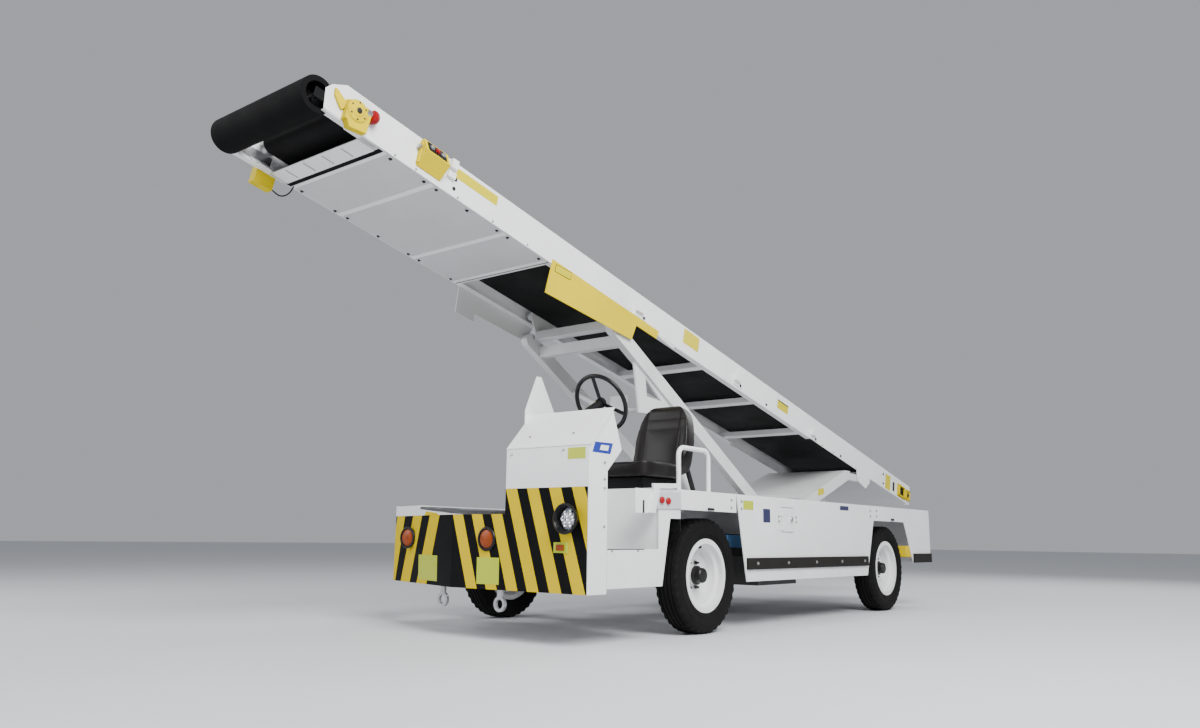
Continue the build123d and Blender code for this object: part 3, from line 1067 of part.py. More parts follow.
def lift_carriage():
    # Two cheek plates with a channel between them; each carries two rollers in the boom's track.
    outline = [(-ROLLER_REAR_U + CARRIAGE_EDGE, ROLLER_RISE + CARRIAGE_EDGE),
               (-ROLLER_FRONT_U - CARRIAGE_EDGE, ROLLER_RISE + CARRIAGE_EDGE),
               (-ROLLER_FRONT_U - CARRIAGE_EDGE, ROLLER_RISE - CARRIAGE_EDGE),
               (-CARRIAGE_U - CARRIAGE_FOOT, -CARRIAGE_DROP - CARRIAGE_EDGE),
               (-CARRIAGE_U + CARRIAGE_FOOT, -CARRIAGE_DROP - CARRIAGE_EDGE),
               (-ROLLER_REAR_U + CARRIAGE_EDGE, ROLLER_RISE - CARRIAGE_EDGE)]
    pieces = []
    cheeks = []
    for x, inward in ((ARM_LEFT_X, -1), (ARM_RIGHT_X, 1)):
        outer = x + inward * (ARM_WIDTH / 2 + CARRIAGE_GAP)
        inner = outer + inward * CARRIAGE_PLATE
        cheeks.append(inner)
        cheek = side_plate(outline, min(outer, inner), max(outer, inner))
        hole = cross_bar(x, inner + inward * OVERRUN, -CARRIAGE_U, -CARRIAGE_DROP, CARRIAGE_PIN + RUNNING_GAP)
        for u in (ROLLER_FRONT_U, ROLLER_REAR_U):
            roller = cross_bar(outer - inward * RUNNING_GAP, outer - inward * ROLLER_WIDTH, -u, ROLLER_RISE, ROLLER_RADIUS)
            cheek = cheek + roller + cross_bar(inner, outer - inward * PLATE, -u, ROLLER_RISE, ROLLER_PIN)
        pieces.append(cheek - hole)
    pieces.append(boom_block(min(cheeks), max(cheeks), CHANNEL_U - CHANNEL_WIDTH / 2, CHANNEL_U + CHANNEL_WIDTH / 2,
                             CHANNEL_BOTTOM, CHANNEL_TOP))
    return on_boom(joined(pieces))


def rear_arm_z(y, side):
    # Height of the rear arm's upper (1) or lower (-1) edge at a place along the machine.
    return REAR_LIFT_Z + (y - REAR_LIFT_Y) * tan(arm_rise) + side * ARM_DEPTH / 2 / cos(arm_rise)


def rear_lift():
    half = ARM_WIDTH / 2
    top_end_y = REAR_LIFT_Y + (REAR_ARM_TOP - rear_arm_z(REAR_LIFT_Y, 1)) / tan(arm_rise)
    outline = [(REAR_LIFT_Y, rear_arm_z(REAR_LIFT_Y, -1)), (REAR_ARM_END_Y, rear_arm_z(REAR_ARM_END_Y, -1)),
               (REAR_ARM_END_Y, REAR_ARM_TOP), (top_end_y, REAR_ARM_TOP), (REAR_LIFT_Y, rear_arm_z(REAR_LIFT_Y, 1))]
    pieces = []
    for x in (ARM_LEFT_X, ARM_RIGHT_X):
        beam = side_plate(outline, x - half, x + half)
        boss = cross_bar(x - half, x + half, REAR_LIFT_Y, REAR_LIFT_Z, ARM_DEPTH / 2)
        tongue = side_beam((REAR_TONGUE_Y, REAR_TONGUE_Z), REAR_PIN, x - half, x + half, TONGUE_DEPTH)
        cap = cross_bar(x - half, x + half, REAR_PIN[0], REAR_PIN[1], TONGUE_DEPTH / 2)
        pieces.append(joined([beam, boss, tongue, cap]))
    fold = ARM_PLATE_FRONT_Y + ARM_PLATE_THICK
    cover = side_plate([(ARM_PLATE_FRONT_Y, rear_arm_z(ARM_PLATE_FRONT_Y, 1)), (top_end_y, REAR_ARM_TOP),
                        (REAR_ARM_END_Y, REAR_ARM_TOP), (REAR_ARM_END_Y, REAR_ARM_TOP - ARM_PLATE_THICK),
                        (top_end_y, REAR_ARM_TOP - ARM_PLATE_THICK), (fold, rear_arm_z(fold, 1) - ARM_PLATE_THICK),
                        (fold, rear_arm_z(fold, 1) - ARM_PLATE_FOLD), (ARM_PLATE_FRONT_Y, rear_arm_z(fold, 1) - ARM_PLATE_FOLD)],
                       ARM_RIGHT_X, ARM_LEFT_X)
    whole = joined(pieces + [cover])
    far, near = ARM_RIGHT_X - ARM_WIDTH, ARM_LEFT_X + ARM_WIDTH
    for y, z in (REAR_BASE, REAR_PIN):
        whole = whole - cross_bar(far, near, y, z, LIFT_SHAFT / 2 + RUNNING_GAP)
    clevis = [cross_bar(ARM_RIGHT_X, ARM_LEFT_X, REAR_CYL_ON_ARM[0], REAR_CYL_ON_ARM[1], CROSS_ROUND)]
    inner = ROD_RADIUS + PLATE
    outer = inner + 2 * PLATE
    for side in (-1, 1):
        x0, x1 = sorted((REAR_CYL_X + side * inner, REAR_CYL_X + side * outer))
        clevis.append(side_beam(REAR_CYL_ON_ARM, REAR_CYL_EYE, x0, x1, 2 * EYE_RADIUS)
                      + cross_bar(x0, x1, REAR_CYL_EYE[0], REAR_CYL_EYE[1], EYE_RADIUS))
    return joined([whole] + clevis)


def rear_pivot():
    return cross_bar(BOOM_RIGHT_X + BOOM_WEB, BOOM_LEFT_X - BOOM_WEB, REAR_PIN[0], REAR_PIN[1], LIFT_SHAFT / 2)


# Hydraulic cylinders: an eye and barrel at the base, a rod with its eye above

def along(base, eye, distance):
    run = (eye[0] - base[0], eye[1] - base[1])
    share = distance / hypot(*run)
    return base[0] + run[0] * share, base[1] + run[1] * share


def cylinder_barrel(x, base, eye, length):
    start_yz = along(base, eye, BARREL_STANDOFF)
    start, end = (x, *start_yz), (x, *along(base, eye, length))
    neck = side_beam(base, start_yz, x - CYL_PIN, x + CYL_PIN, 3 * CYL_PIN)
    barrel = bar(start, end, BARREL_RADIUS) - bar(start, end, ROD_RADIUS + RUNNING_GAP)
    foot = bar(start, (x, *along(base, eye, BARREL_STANDOFF + CYL_PIN)), BARREL_RADIUS)
    ring = cross_bar(x - CYL_PIN, x + CYL_PIN, base[0], base[1], EYE_RADIUS)
    hole = cross_bar(x - 2 * CYL_PIN, x + 2 * CYL_PIN, base[0], base[1], CYL_PIN + RUNNING_GAP)
    return joined([barrel, foot, neck, ring]) - hole


def cylinder_rod(x, base, eye, inside):
    rod = bar((x, *along(base, eye, inside)), (x, *eye), ROD_RADIUS)
    ring = cross_bar(x - ROD_RADIUS, x + ROD_RADIUS, eye[0], eye[1], EYE_RADIUS)
    return rod + ring


wheels = [("front_left", 1, FRONT_AXLE_Y), ("front_right", -1, FRONT_AXLE_Y),
          ("rear_left", 1, REAR_AXLE_Y), ("rear_right", -1, REAR_AXLE_Y)]


def all_nodes():
    nodes = {
        "chassis_frame": [joined([chassis_frame(), lift_mounts()] + cylinder_lugs())],
        "outriggers": outriggers(),
        "left_body": [left_body()],
        "right_body": [right_body()],
        "rear_panel": [rear_panel()],
        "rub_rails": rub_rails(),
        "access_door": [access_door()],
        "cowl": [cowl()],
        "foot_well": [foot_well()],
        "front_bumper": [front_bumper()],
        "tow_rings": tow_rings(),
        "head_lamp": front_lamps(),
        "front_axle": [front_axle()],
        "knuckle_left": [knuckle(1)],
        "knuckle_right": [knuckle(-1)],
        "tie_rod": [tie_rod()],
        "rear_axle": [rear_axle()],
        "driveline": [driveline(), tank()],
        "seat_base": [seat_base()],
        "seat_cushion": [seat_cushion()],
        "seat_back": [seat_back()],
        "steering_column": [steering_column()],
        "steering_wheel": [steering_wheel()],
        "grab_rail": [grab_rail()],
        "boom_rails": boom_rails(),
        "boom_frame": boom_frame(),
        "belly_panels": belly_panels(),
        "belt": [belt()],
        "belt_pulleys": belt_pulleys() + [bump_spindle()],
        "bump_roller": [bump_roller()],
        "boom_guards": boom_guards(),
        "boom_controls": boom_controls(),
        "front_lift": [front_lift()],
        "lift_carriage": [lift_carriage()],
        "rear_lift": [rear_lift()],
        "rear_pivot": [rear_pivot()],
        "front_barrel": [cylinder_barrel(FRONT_CYL_X, FRONT_CYL_BASE, FRONT_CYL_EYE, FRONT_BARREL_LENGTH)],
        "front_rod": [cylinder_rod(FRONT_CYL_X, FRONT_CYL_BASE, FRONT_CYL_EYE, FRONT_ROD_INSIDE)],
        "rear_barrel": [cylinder_barrel(REAR_CYL_X, REAR_CYL_BASE, REAR_CYL_EYE, REAR_BARREL_LENGTH)],
        "rear_rod": [cylinder_rod(REAR_CYL_X, REAR_CYL_BASE, REAR_CYL_EYE, REAR_ROD_INSIDE)],
    }
    for name, side, axle_y in wheels:
        nodes["rim_" + name] = [wheel_rim(side, axle_y)]
        nodes["tyre_" + name] = [tyre(side, axle_y)]
    return nodes


def solids_of(pieces):
    solids = []
    for piece in pieces:
        solids += list(piece.solids())
    return solids


os.makedirs("parts", exist_ok=True)
for node, pieces in all_nodes().items():
    placed = [Pos(0, -CENTRE_TO_BUMPER, 0) * solid for solid in solids_of(pieces)]
    export_step(Compound(children=placed) if len(placed) > 1 else placed[0], "parts/" + node + ".step")
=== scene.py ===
# Airport belt loader: finishes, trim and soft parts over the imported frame
import bpy
import bmesh
from math import sin, cos, pi, radians, exp
from mathutils import Vector, Matrix


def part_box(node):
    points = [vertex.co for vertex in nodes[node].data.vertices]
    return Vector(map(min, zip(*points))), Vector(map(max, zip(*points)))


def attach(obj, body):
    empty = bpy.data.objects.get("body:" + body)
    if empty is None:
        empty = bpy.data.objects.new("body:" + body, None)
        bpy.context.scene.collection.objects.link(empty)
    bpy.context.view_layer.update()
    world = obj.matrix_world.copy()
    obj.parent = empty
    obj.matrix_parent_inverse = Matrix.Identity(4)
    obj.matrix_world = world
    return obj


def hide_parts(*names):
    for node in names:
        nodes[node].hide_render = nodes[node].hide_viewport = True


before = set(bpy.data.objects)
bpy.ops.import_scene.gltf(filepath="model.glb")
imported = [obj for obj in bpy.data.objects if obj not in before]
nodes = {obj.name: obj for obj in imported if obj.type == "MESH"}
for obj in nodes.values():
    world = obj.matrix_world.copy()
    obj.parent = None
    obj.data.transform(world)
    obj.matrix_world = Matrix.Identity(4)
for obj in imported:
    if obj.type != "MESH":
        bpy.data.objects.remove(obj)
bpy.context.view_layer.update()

# Places are in metres; lengths run rearwards from the face of the front bumper
FRONT_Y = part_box("cowl")[0][1]
HALF_WIDTH = 1.03
DECK_TOP = 0.929
SKIRT_BOTTOM = 0.301
BUMPER_TOP = 0.751
BUMPER_KNEE = -0.08
BUMPER_END = 0.374
SWEEP = 0.331 / 0.95
COWL_INNER = 0.379
COWL_OUTER = 1.024
STRIPE_TOP = 0.902
STRIPE_LEAN = 0.325
STRIPE_WIDTH = 0.091
FILM = 0.0008
PLATE = 0.001
LIP_THICK = 0.003
RUB_RAIL_FACE = HALF_WIDTH + 0.014
RUB_RAIL_Z = 0.452
RUB_RAIL_BOLTS = (1.90, 2.365, 2.837, 3.307, 3.77)
ARM_FACE = 0.328
SEAT_X = 0.70

# The boom: its tail's place and its rails' faces; on it, u runs up its length and v stands off its underside
BOOM_PITCH = radians(12.42)
BOOM_TAIL = (6.724, 1.039)
RAIL_LEFT = 0.345
RAIL_RIGHT = -0.581
NOSE_PLATE = 0.005
OUTER = RAIL_LEFT + NOSE_PLATE
GUARD_FACE = RAIL_LEFT + 0.006
TAIL_FACE = RAIL_LEFT + 0.008
PAN_LEFT, PAN_RIGHT, PAN_UNDER = RAIL_LEFT - 0.014, RAIL_RIGHT + 0.014, -0.004
STRIP_UNDER = PAN_UNDER - 0.004
GUARD_STEP_U = 5.187
GUARD_END = FRONT_Y + BOOM_TAIL[0] - GUARD_STEP_U * cos(BOOM_PITCH)

# Wheels
WHEEL_X = 0.895
WHEEL_Z = 0.378
AXLES = {"front": 1.323, "rear": 4.409}
TREAD_SIDES = 160
LUG_DEPTH = 0.008
NUT_CIRCLE = 0.093
NUT_FACE = 0.043

# Swelling of the seat's cover
SWELL_CAP = 0.014
SWELL_FRAMES = 20

# Camera fitted to the photograph
LENS = 28.35
CAMERA_HEADING, CAMERA_TILT, CAMERA_ROLL = radians(38.581), radians(100.454), radians(0.746)
CAMERA_PLACE = (4.431, -4.177, 0.613)

RIGHTWARD = Vector((1, 0, 0))
REARWARD = Vector((0, 1, 0))
UPWARD = Vector((0, 0, 1))
ALONG = Vector((0, -cos(BOOM_PITCH), sin(BOOM_PITCH)))
ABOVE = Vector((0, sin(BOOM_PITCH), cos(BOOM_PITCH)))
SWEEP_OUT = Vector((-SWEEP, -1, 0)).normalized()
HOOD_OUT = Vector((0, -1.0939, 1)).normalized()


def at(x, y, z):
    return Vector((x, y + FRONT_Y, z))


def on_boom(x, along, above):
    return at(x, *BOOM_TAIL) + ALONG * along + ABOVE * above


def on_front(x, z, lift=0.0):
    # A point of the front face: straight on the driver's side, swept back beyond the knee.
    if x >= BUMPER_KNEE:
        return at(x, -lift, z)
    return at(x, (BUMPER_KNEE - x) * SWEEP, z) + SWEEP_OUT * lift


def around(centre, first, second, radius, start=0.0, count=6):
    # Places spread evenly on a circle.
    angles = [start + 2 * pi * i / count for i in range(count)]
    return [centre + (first * cos(angle) + second * sin(angle)) * radius for angle in angles]


def rectangle(a0, a1, b0, b1):
    return [(a0, b0), (a1, b0), (a1, b1), (a0, b1)]


# Finishes

def finish(name, colour, rough=0.4, metal=0.0, shade=0.88, patch=2.5, grain=120.0, relief=0.03,
           pattern="noise", soil=0.0, coat=0.0, shine=0.5, second=None):
    # The second colour covers what lies beyond x = 0 or behind the given y.
    material = bpy.data.materials.new(name)
    material.use_nodes = True
    tree = material.node_tree
    shader = tree.nodes["Principled BSDF"]
    shader.inputs["Metallic"].default_value = metal
    shader.inputs["Coat Weight"].default_value = coat
    shader.inputs["Specular IOR Level"].default_value = shine

    def add(kind, operation=None, **values):
        node = tree.nodes.new(kind)
        if operation:
            node.operation = operation
        for key, value in values.items():
            node.inputs[key.replace("_", " ")].default_value = value
        return node

    def blend(amount, first, other):
        mix = tree.nodes.new("ShaderNodeMix")
        mix.data_type = "RGBA"
        colours = [socket for socket in mix.inputs if socket.type == "RGBA"]
        tree.links.new(first, colours[0])
        colours[1].default_value = (*other, 1)
        tree.links.new(amount, mix.inputs[0])
        return [socket for socket in mix.outputs if socket.type == "RGBA"][0]

    place = add("ShaderNodeTexCoord").outputs["Object"]
    blotch = add("ShaderNodeTexNoise", Scale=patch, Detail=6.0, Roughness=0.6)
    tree.links.new(place, blotch.inputs["Vector"])
    tone = add("ShaderNodeValToRGB")
    tone.color_ramp.elements[0].position = 0.3
    tone.color_ramp.elements[0].color = (*[c * shade for c in colour], 1)
    tone.color_ramp.elements[1].position = 0.62
    tone.color_ramp.elements[1].color = (*colour, 1)
    tree.links.new(blotch.outputs["Fac"], tone.inputs["Fac"])
    colour_out = tone.outputs["Color"]
    split = add("ShaderNodeSeparateXYZ")
    tree.links.new(place, split.inputs["Vector"])

    if second:
        other, behind = second
        either = add("ShaderNodeMath", "MAXIMUM")
        for i, (axis, low, high) in enumerate((("X", 0.001, -0.001), ("Y", behind, behind + 0.001))):
            step = add("ShaderNodeMapRange", From_Min=low, From_Max=high)
            tree.links.new(split.outputs[axis], step.inputs["Value"])
            tree.links.new(step.outputs["Result"], either.inputs[i])
        colour_out = blend(either.outputs[0], colour_out, other)
    if soil:
        height = add("ShaderNodeMapRange", From_Min=0.25, From_Max=0.95, To_Min=soil, To_Max=0.0)
        tree.links.new(split.outputs["Z"], height.inputs["Value"])
        streak = add("ShaderNodeTexNoise", Scale=9.0, Detail=8.0, Roughness=0.7)
        tree.links.new(place, streak.inputs["Vector"])
        amount = add("ShaderNodeMath", "MULTIPLY")
        tree.links.new(height.outputs["Result"], amount.inputs[0])
        tree.links.new(streak.outputs["Fac"], amount.inputs[1])
        colour_out = blend(amount.outputs[0], colour_out, (0.16, 0.145, 0.125))
    tree.links.new(colour_out, shader.inputs["Base Color"])

    gloss = add("ShaderNodeMapRange", From_Min=0.25, From_Max=0.75,
                To_Min=rough * 0.8, To_Max=min(1.0, rough * 1.2))
    tree.links.new(blotch.outputs["Fac"], gloss.inputs["Value"])
    tree.links.new(gloss.outputs["Result"], shader.inputs["Roughness"])
    if pattern == "cells":
        texture = add("ShaderNodeTexVoronoi", Scale=grain)
        height_out = texture.outputs["Distance"]
    else:
        texture = add("ShaderNodeTexNoise", Scale=grain, Detail=3.0)
        height_out = texture.outputs["Fac"]
    tree.links.new(place, texture.inputs["Vector"])
    bump = add("ShaderNodeBump", Strength=relief, Distance=0.002)
    tree.links.new(height_out, bump.inputs["Height"])
    tree.links.new(bump.outputs["Normal"], shader.inputs["Normal"])
    return material


# Paint
white = finish("white_enamel", (0.86, 0.865, 0.87), rough=0.32, shade=0.94, relief=0.04, soil=0.22, coat=0.25)
boom_white = finish("boom_enamel", (0.85, 0.855, 0.86), rough=0.36, shade=0.92, relief=0.05, coat=0.15)
lift_white = finish("lift_enamel", (0.68, 0.69, 0.69), rough=0.42, shade=0.88, relief=0.06)
# The belly pan's darker grey paints the shade on the boom's downward-facing underside
pan_shade_grey = finish("pan_painted_shade", (0.55, 0.56, 0.57), rough=0.5, shade=0.9, relief=0.08)
yellow = finish("signal_yellow", (0.65, 0.475, 0.0), rough=0.55, shade=0.92, relief=0.04,
                soil=0.06, shine=0.04)
guard_yellow = finish("guard_yellow", (0.68, 0.52, 0.0), rough=0.45, shade=0.9, relief=0.04, shine=0.06)
two_tone = finish("guard_paint", (0.68, 0.52, 0.0), rough=0.45, shade=0.9, relief=0.04, shine=0.06,
                  second=((0.66, 0.67, 0.67), GUARD_END))
stripe_black = finish("stripe_black", (0.003, 0.0032, 0.004), rough=0.55, shade=0.6, relief=0.04,
                      soil=0.03, shine=0.06)
frame_black = finish("frame_black", (0.005, 0.0055, 0.006), rough=0.6, shade=0.6, relief=0.1,
                     soil=0.1, shine=0.12)
iron = finish("dull_iron", (0.05, 0.05, 0.052), rough=0.6, metal=0.5, shade=0.7, relief=0.3, grain=60,
              soil=0.3)
hub_black = finish("hub_black", (0.005, 0.005, 0.005), rough=0.38, shade=0.7, relief=0.1, soil=0.06,
                   shine=0.3)

# Rubber, foam and plastic
tyre_rubber = finish("tyre_rubber", (0.004, 0.004, 0.0045), rough=0.75, shade=0.7, relief=0.25,
                     grain=200, soil=0.06, shine=0.1)
rubber = finish("edge_rubber", (0.009, 0.008, 0.007), rough=0.66, shade=0.75, relief=0.2, grain=160,
                soil=0.08, shine=0.15)
belt_rubber = finish("belt_rubber", (0.004, 0.004, 0.0045), rough=0.66, shade=0.75, relief=0.6,
                     grain=130, pattern="cells", shine=0.12)
foam = finish("bump_foam", (0.006, 0.006, 0.0065), rough=0.85, shade=0.75, relief=0.35, grain=220,
              shine=0.08)
vinyl = finish("seat_vinyl", (0.0075, 0.006, 0.006), rough=0.40, shade=0.75, relief=0.18, grain=260,
               pattern="cells", shine=0.25)
plastic = finish("black_plastic", (0.006, 0.006, 0.0065), rough=0.36, shade=0.8, relief=0.08,
                 grain=300, shine=0.3)

# Metal
steel = finish("bare_steel", (0.5, 0.5, 0.51), rough=0.32, metal=0.9, shade=0.85, relief=0.1, grain=90)
chrome = finish("polished_rod", (0.78, 0.78, 0.8), rough=0.12, metal=1.0, shade=0.95, relief=0.01)
zinc = finish("zinc_bolt", (0.45, 0.45, 0.44), rough=0.4, metal=0.8, shade=0.8, relief=0.1)
black_bolt = finish("black_bolt", (0.02, 0.02, 0.02), rough=0.45, metal=0.3, shade=0.8, relief=0.1)

# Blank plates, boxes and lenses
blank_lime = finish("blank_lime_plate", (0.46, 0.53, 0.015), rough=0.3, shade=0.95, relief=0.01)
blank_yellow = finish("blank_yellow_plate", (0.62, 0.52, 0.0), rough=0.3, shade=0.93, relief=0.01)
blank_blue = finish("blank_blue_plate", (0.02, 0.04, 0.30), rough=0.3, shade=0.9, relief=0.01)
blank_navy = finish("blank_navy_plate", (0.02, 0.022, 0.08), rough=0.3, shade=0.9, relief=0.01)
blank_white = finish("blank_white_plate", (0.84, 0.85, 0.86), rough=0.28, shade=0.97, relief=0.01)
box_blue = finish("box_blue", (0.05, 0.17, 0.38), rough=0.4, shade=0.85, relief=0.05, soil=0.2)
red = finish("signal_red", (0.34, 0.002, 0.006), rough=0.38, shade=0.85, relief=0.02, shine=0.25)
amber = finish("amber_lens", (0.28, 0.045, 0.0), rough=0.35, shade=0.6, relief=0.6, grain=90,
               pattern="cells", shine=0.3, patch=30)
# Light grey and not metallic: this colour paints the reflection of the head lamp's silver reflector
reflector_sheen = finish("reflector_sheen_lens", (0.62, 0.67, 0.74), rough=0.22, shade=0.55, patch=45, relief=0.6, grain=90,
               pattern="cells", coat=0.8)
box_grey = finish("switch_box_grey", (0.55, 0.57, 0.58), rough=0.4, shade=0.92, relief=0.03)

worn_by = (
    (white, ("left_body", "right_body", "rear_panel", "access_door", "cowl", "foot_well", "front_bumper",
             "grab_rail")),
    (boom_white, ("boom_rails", "boom_frame")),
    (lift_white, ("front_lift", "lift_carriage", "rear_lift", "front_barrel", "rear_barrel")),
    (pan_shade_grey, ("belly_panels",)),
    (two_tone, ("boom_guards",)),
    (guard_yellow, ("boom_controls",)),
    (frame_black, ("chassis_frame", "outriggers", "seat_base")),
    (iron, ("front_axle", "knuckle_left", "knuckle_right", "tie_rod", "rear_axle", "driveline")),
    (steel, ("tow_rings", "belt_pulleys", "rear_pivot")),
    (chrome, ("front_rod", "rear_rod")),
    (rubber, ("rub_rails",)),
    (belt_rubber, ("belt",)),
    (foam, ("bump_roller",)),
    (vinyl, ("seat_cushion", "seat_back")),
    (plastic, ("head_lamp", "steering_column", "steering_wheel")))
node_finish = {name: look for look, names in worn_by for name in names}
for name, node in nodes.items():
    if name.startswith("rim_"):
        look = white
    elif name.startswith("tyre_"):
        look = tyre_rubber
    else:
        look = node_finish[name]
    if not node.material_slots:
        node.data.materials.append(look)
    for slot in node.material_slots:
        slot.material = look


# Mesh building

def prism(outline, depth):
    count = len(outline)
    faces = [tuple(range(count)), tuple(range(2 * count - 1, count - 1, -1))]
    faces += [(i, (i + 1) % count, count + (i + 1) % count, count + i) for i in range(count)]
    return list(outline) + [p + depth for p in outline], faces


def slab(corner, a, b, c):
    # A block from one corner along three edges.
    return prism([corner, corner + a, corner + a + b, corner + b], c)


def turned(profile, centre, axis, sides=40, closed=False):
    # Radius and distance along the axis, spun about it.
    axis = axis.normalized()
    across = axis.orthogonal().normalized()
    other = axis.cross(across)
    verts, faces = [], []
    rows = len(profile)
    for i in range(sides):
        angle = 2 * pi * i / sides
        out = across * cos(angle) + other * sin(angle)
        verts += [centre + out * r + axis * t for r, t in profile]
    links = rows if closed else rows - 1
    for i in range(sides):
        j = (i + 1) % sides
        for k in range(links):
            n = (k + 1) % rows
            faces.append((i * rows + k, j * rows + k, j * rows + n, i * rows + n))
    if not closed:
        faces.append(tuple(i * rows for i in range(sides)))
        faces.append(tuple(i * rows + rows - 1 for i in reversed(range(sides))))
    return verts, faces


def bolt(place, out, size):
    # A washer with a hexagon head on it.
    washer = turned([(size, 0), (size, 0.0015), (size * 0.9, 0.002)], place, out, 20)
    head = turned([(size * 0.72, 0.0015), (size * 0.72, 0.007), (size * 0.55, 0.0085)], place, out, 6)
    return [washer, head]


def link(name, data):
    thing = bpy.data.objects.new(name, data)
    bpy.context.scene.collection.objects.link(thing)
    return thing


def piece(name, solids, body, material, bevel=0.0, sharp=35):
    verts, faces = [], []
    for points, loops in solids:
        start = len(verts)
        verts += points
        faces += [tuple(start + i for i in loop) for loop in loops]
    mesh = bpy.data.meshes.new(name)
    mesh.from_pydata(verts, [], faces)
    work = bmesh.new()
    work.from_mesh(mesh)
    bmesh.ops.recalc_face_normals(work, faces=work.faces)
    for face in work.faces:
        face.smooth = True
    for edge in work.edges:
        edge.smooth = edge.calc_face_angle(0) < radians(sharp)
    work.to_mesh(mesh)
    work.free()
    mesh.materials.append(material)
    thing = link(name, mesh)
    if bevel:
        cut = thing.modifiers.new("edge", "BEVEL")
        cut.width = bevel
        cut.segments = 2
        cut.limit_method = "ANGLE"
    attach(thing, body)
    return thing


def bolts(name, places, out, body, size=0.011, material=zinc):
    solids = []
    for place in places:
        solids += bolt(place, out, size)
    return piece(name, solids, body, material)


def front_film(outline, out, lift=0.0, thick=FILM):
    return prism([on_front(x, z, lift) for x, z in outline], out * thick)


def side_patch(outline, x=HALF_WIDTH, thick=FILM):
    return prism([at(x, y, z) for y, z in outline], RIGHTWARD * thick)


def side_rectangle(y0, y1, z0, z1, x=HALF_WIDTH, thick=FILM):
    return side_patch(rectangle(y0, y1, z0, z1), x, thick)


# Hazard stripes on the front

cowl_ground = [(BUMPER_END, SKIRT_BOTTOM), (COWL_OUTER, SKIRT_BOTTOM), (COWL_OUTER, STRIPE_TOP),
               (COWL_INNER, STRIPE_TOP), (COWL_INNER, BUMPER_TOP), (BUMPER_END, BUMPER_TOP)]
ground = [front_film(rectangle(-HALF_WIDTH, BUMPER_KNEE, SKIRT_BOTTOM, BUMPER_TOP), SWEEP_OUT),
          front_film(rectangle(BUMPER_KNEE, BUMPER_END, SKIRT_BOTTOM, BUMPER_TOP), -REARWARD),
          front_film(cowl_ground, -REARWARD)]
piece("stripe_ground", ground, "chassis", stripe_black)

stripes = []
for top_x in (-0.128, 0.043, 0.214, 0.381, 0.555, 0.730):
    top = STRIPE_TOP if top_x > 0.3 else BUMPER_TOP
    x0 = top_x + (STRIPE_TOP - top) * STRIPE_LEAN
    x1 = top_x + (STRIPE_TOP - SKIRT_BOTTOM) * STRIPE_LEAN
    stripes.append(front_film([(x0, top), (x0 + STRIPE_WIDTH, top), (x1 + STRIPE_WIDTH, SKIRT_BOTTOM),
                               (x1, SKIRT_BOTTOM)], -REARWARD, FILM))
corner_stripe = [(0.905, STRIPE_TOP), (0.998, STRIPE_TOP), (COWL_OUTER, 0.83), (COWL_OUTER, 0.54)]
stripes.append(front_film(corner_stripe, -REARWARD, FILM))
stripes.append(front_film([(-1.004, BUMPER_TOP), (-0.867, BUMPER_TOP), (-0.993, SKIRT_BOTTOM),
                           (-HALF_WIDTH, SKIRT_BOTTOM), (-HALF_WIDTH, 0.66)], SWEEP_OUT, FILM))
for top_left, top_right, low_right, low_left in ((-0.717, -0.565, -0.728, -0.889),
                                                 (-0.435, -0.281, -0.446, -0.610)):
    outline = [(top_left, BUMPER_TOP), (top_right, BUMPER_TOP), (low_right, SKIRT_BOTTOM),
               (low_left, SKIRT_BOTTOM)]
    stripes.append(front_film(outline, SWEEP_OUT, FILM))
piece("stripes", stripes, "chassis", yellow)

# Lip on the bumper's top edge: high at the swept end, running out beyond the knee
lip_swept = [(-HALF_WIDTH, BUMPER_TOP), (BUMPER_KNEE, BUMPER_TOP), (BUMPER_KNEE, 0.756), (-HALF_WIDTH, 0.824)]
lip_end = [(BUMPER_KNEE, BUMPER_TOP), (0.02, BUMPER_TOP), (BUMPER_KNEE, 0.756)]
lip = [front_film(lip_swept, SWEEP_OUT, 0.0, LIP_THICK), front_film(lip_end, -REARWARD, 0.0, LIP_THICK)]
piece("bumper_lip", lip, "chassis", white)
lip_patch = [(-0.520, BUMPER_TOP), (-0.290, BUMPER_TOP), (-0.320, 0.764), (-0.500, 0.778)]
piece("lip_patch", [front_film(lip_patch, SWEEP_OUT, LIP_THICK)], "chassis", yellow)

# Blank plates over the towing eyes, and the small marker lamp
tow_plate_far = [(-0.580, 0.327), (-0.280, 0.327), (-0.290, 0.490), (-0.590, 0.490)]
tow_plate_near = [(0.155, 0.331), (0.344, 0.331), (0.342, 0.490), (0.153, 0.490)]
piece("tow_plates", [front_film(tow_plate_far, SWEEP_OUT, 2 * FILM, PLATE),
                     front_film(tow_plate_near, -REARWARD, 2 * FILM, PLATE)], "chassis", blank_lime)
marker_base = slab(at(0.778, -0.006, 0.528), RIGHTWARD * 0.107, UPWARD * 0.06, REARWARD * 0.006)
piece("marker_base", [marker_base], "chassis", blank_lime, bevel=0.001)
marker_lens = slab(at(0.803, -0.016, 0.541), RIGHTWARD * 0.056, UPWARD * 0.034, REARWARD * 0.0105)
piece("marker_lens", [marker_lens], "chassis", amber, bevel=0.003)

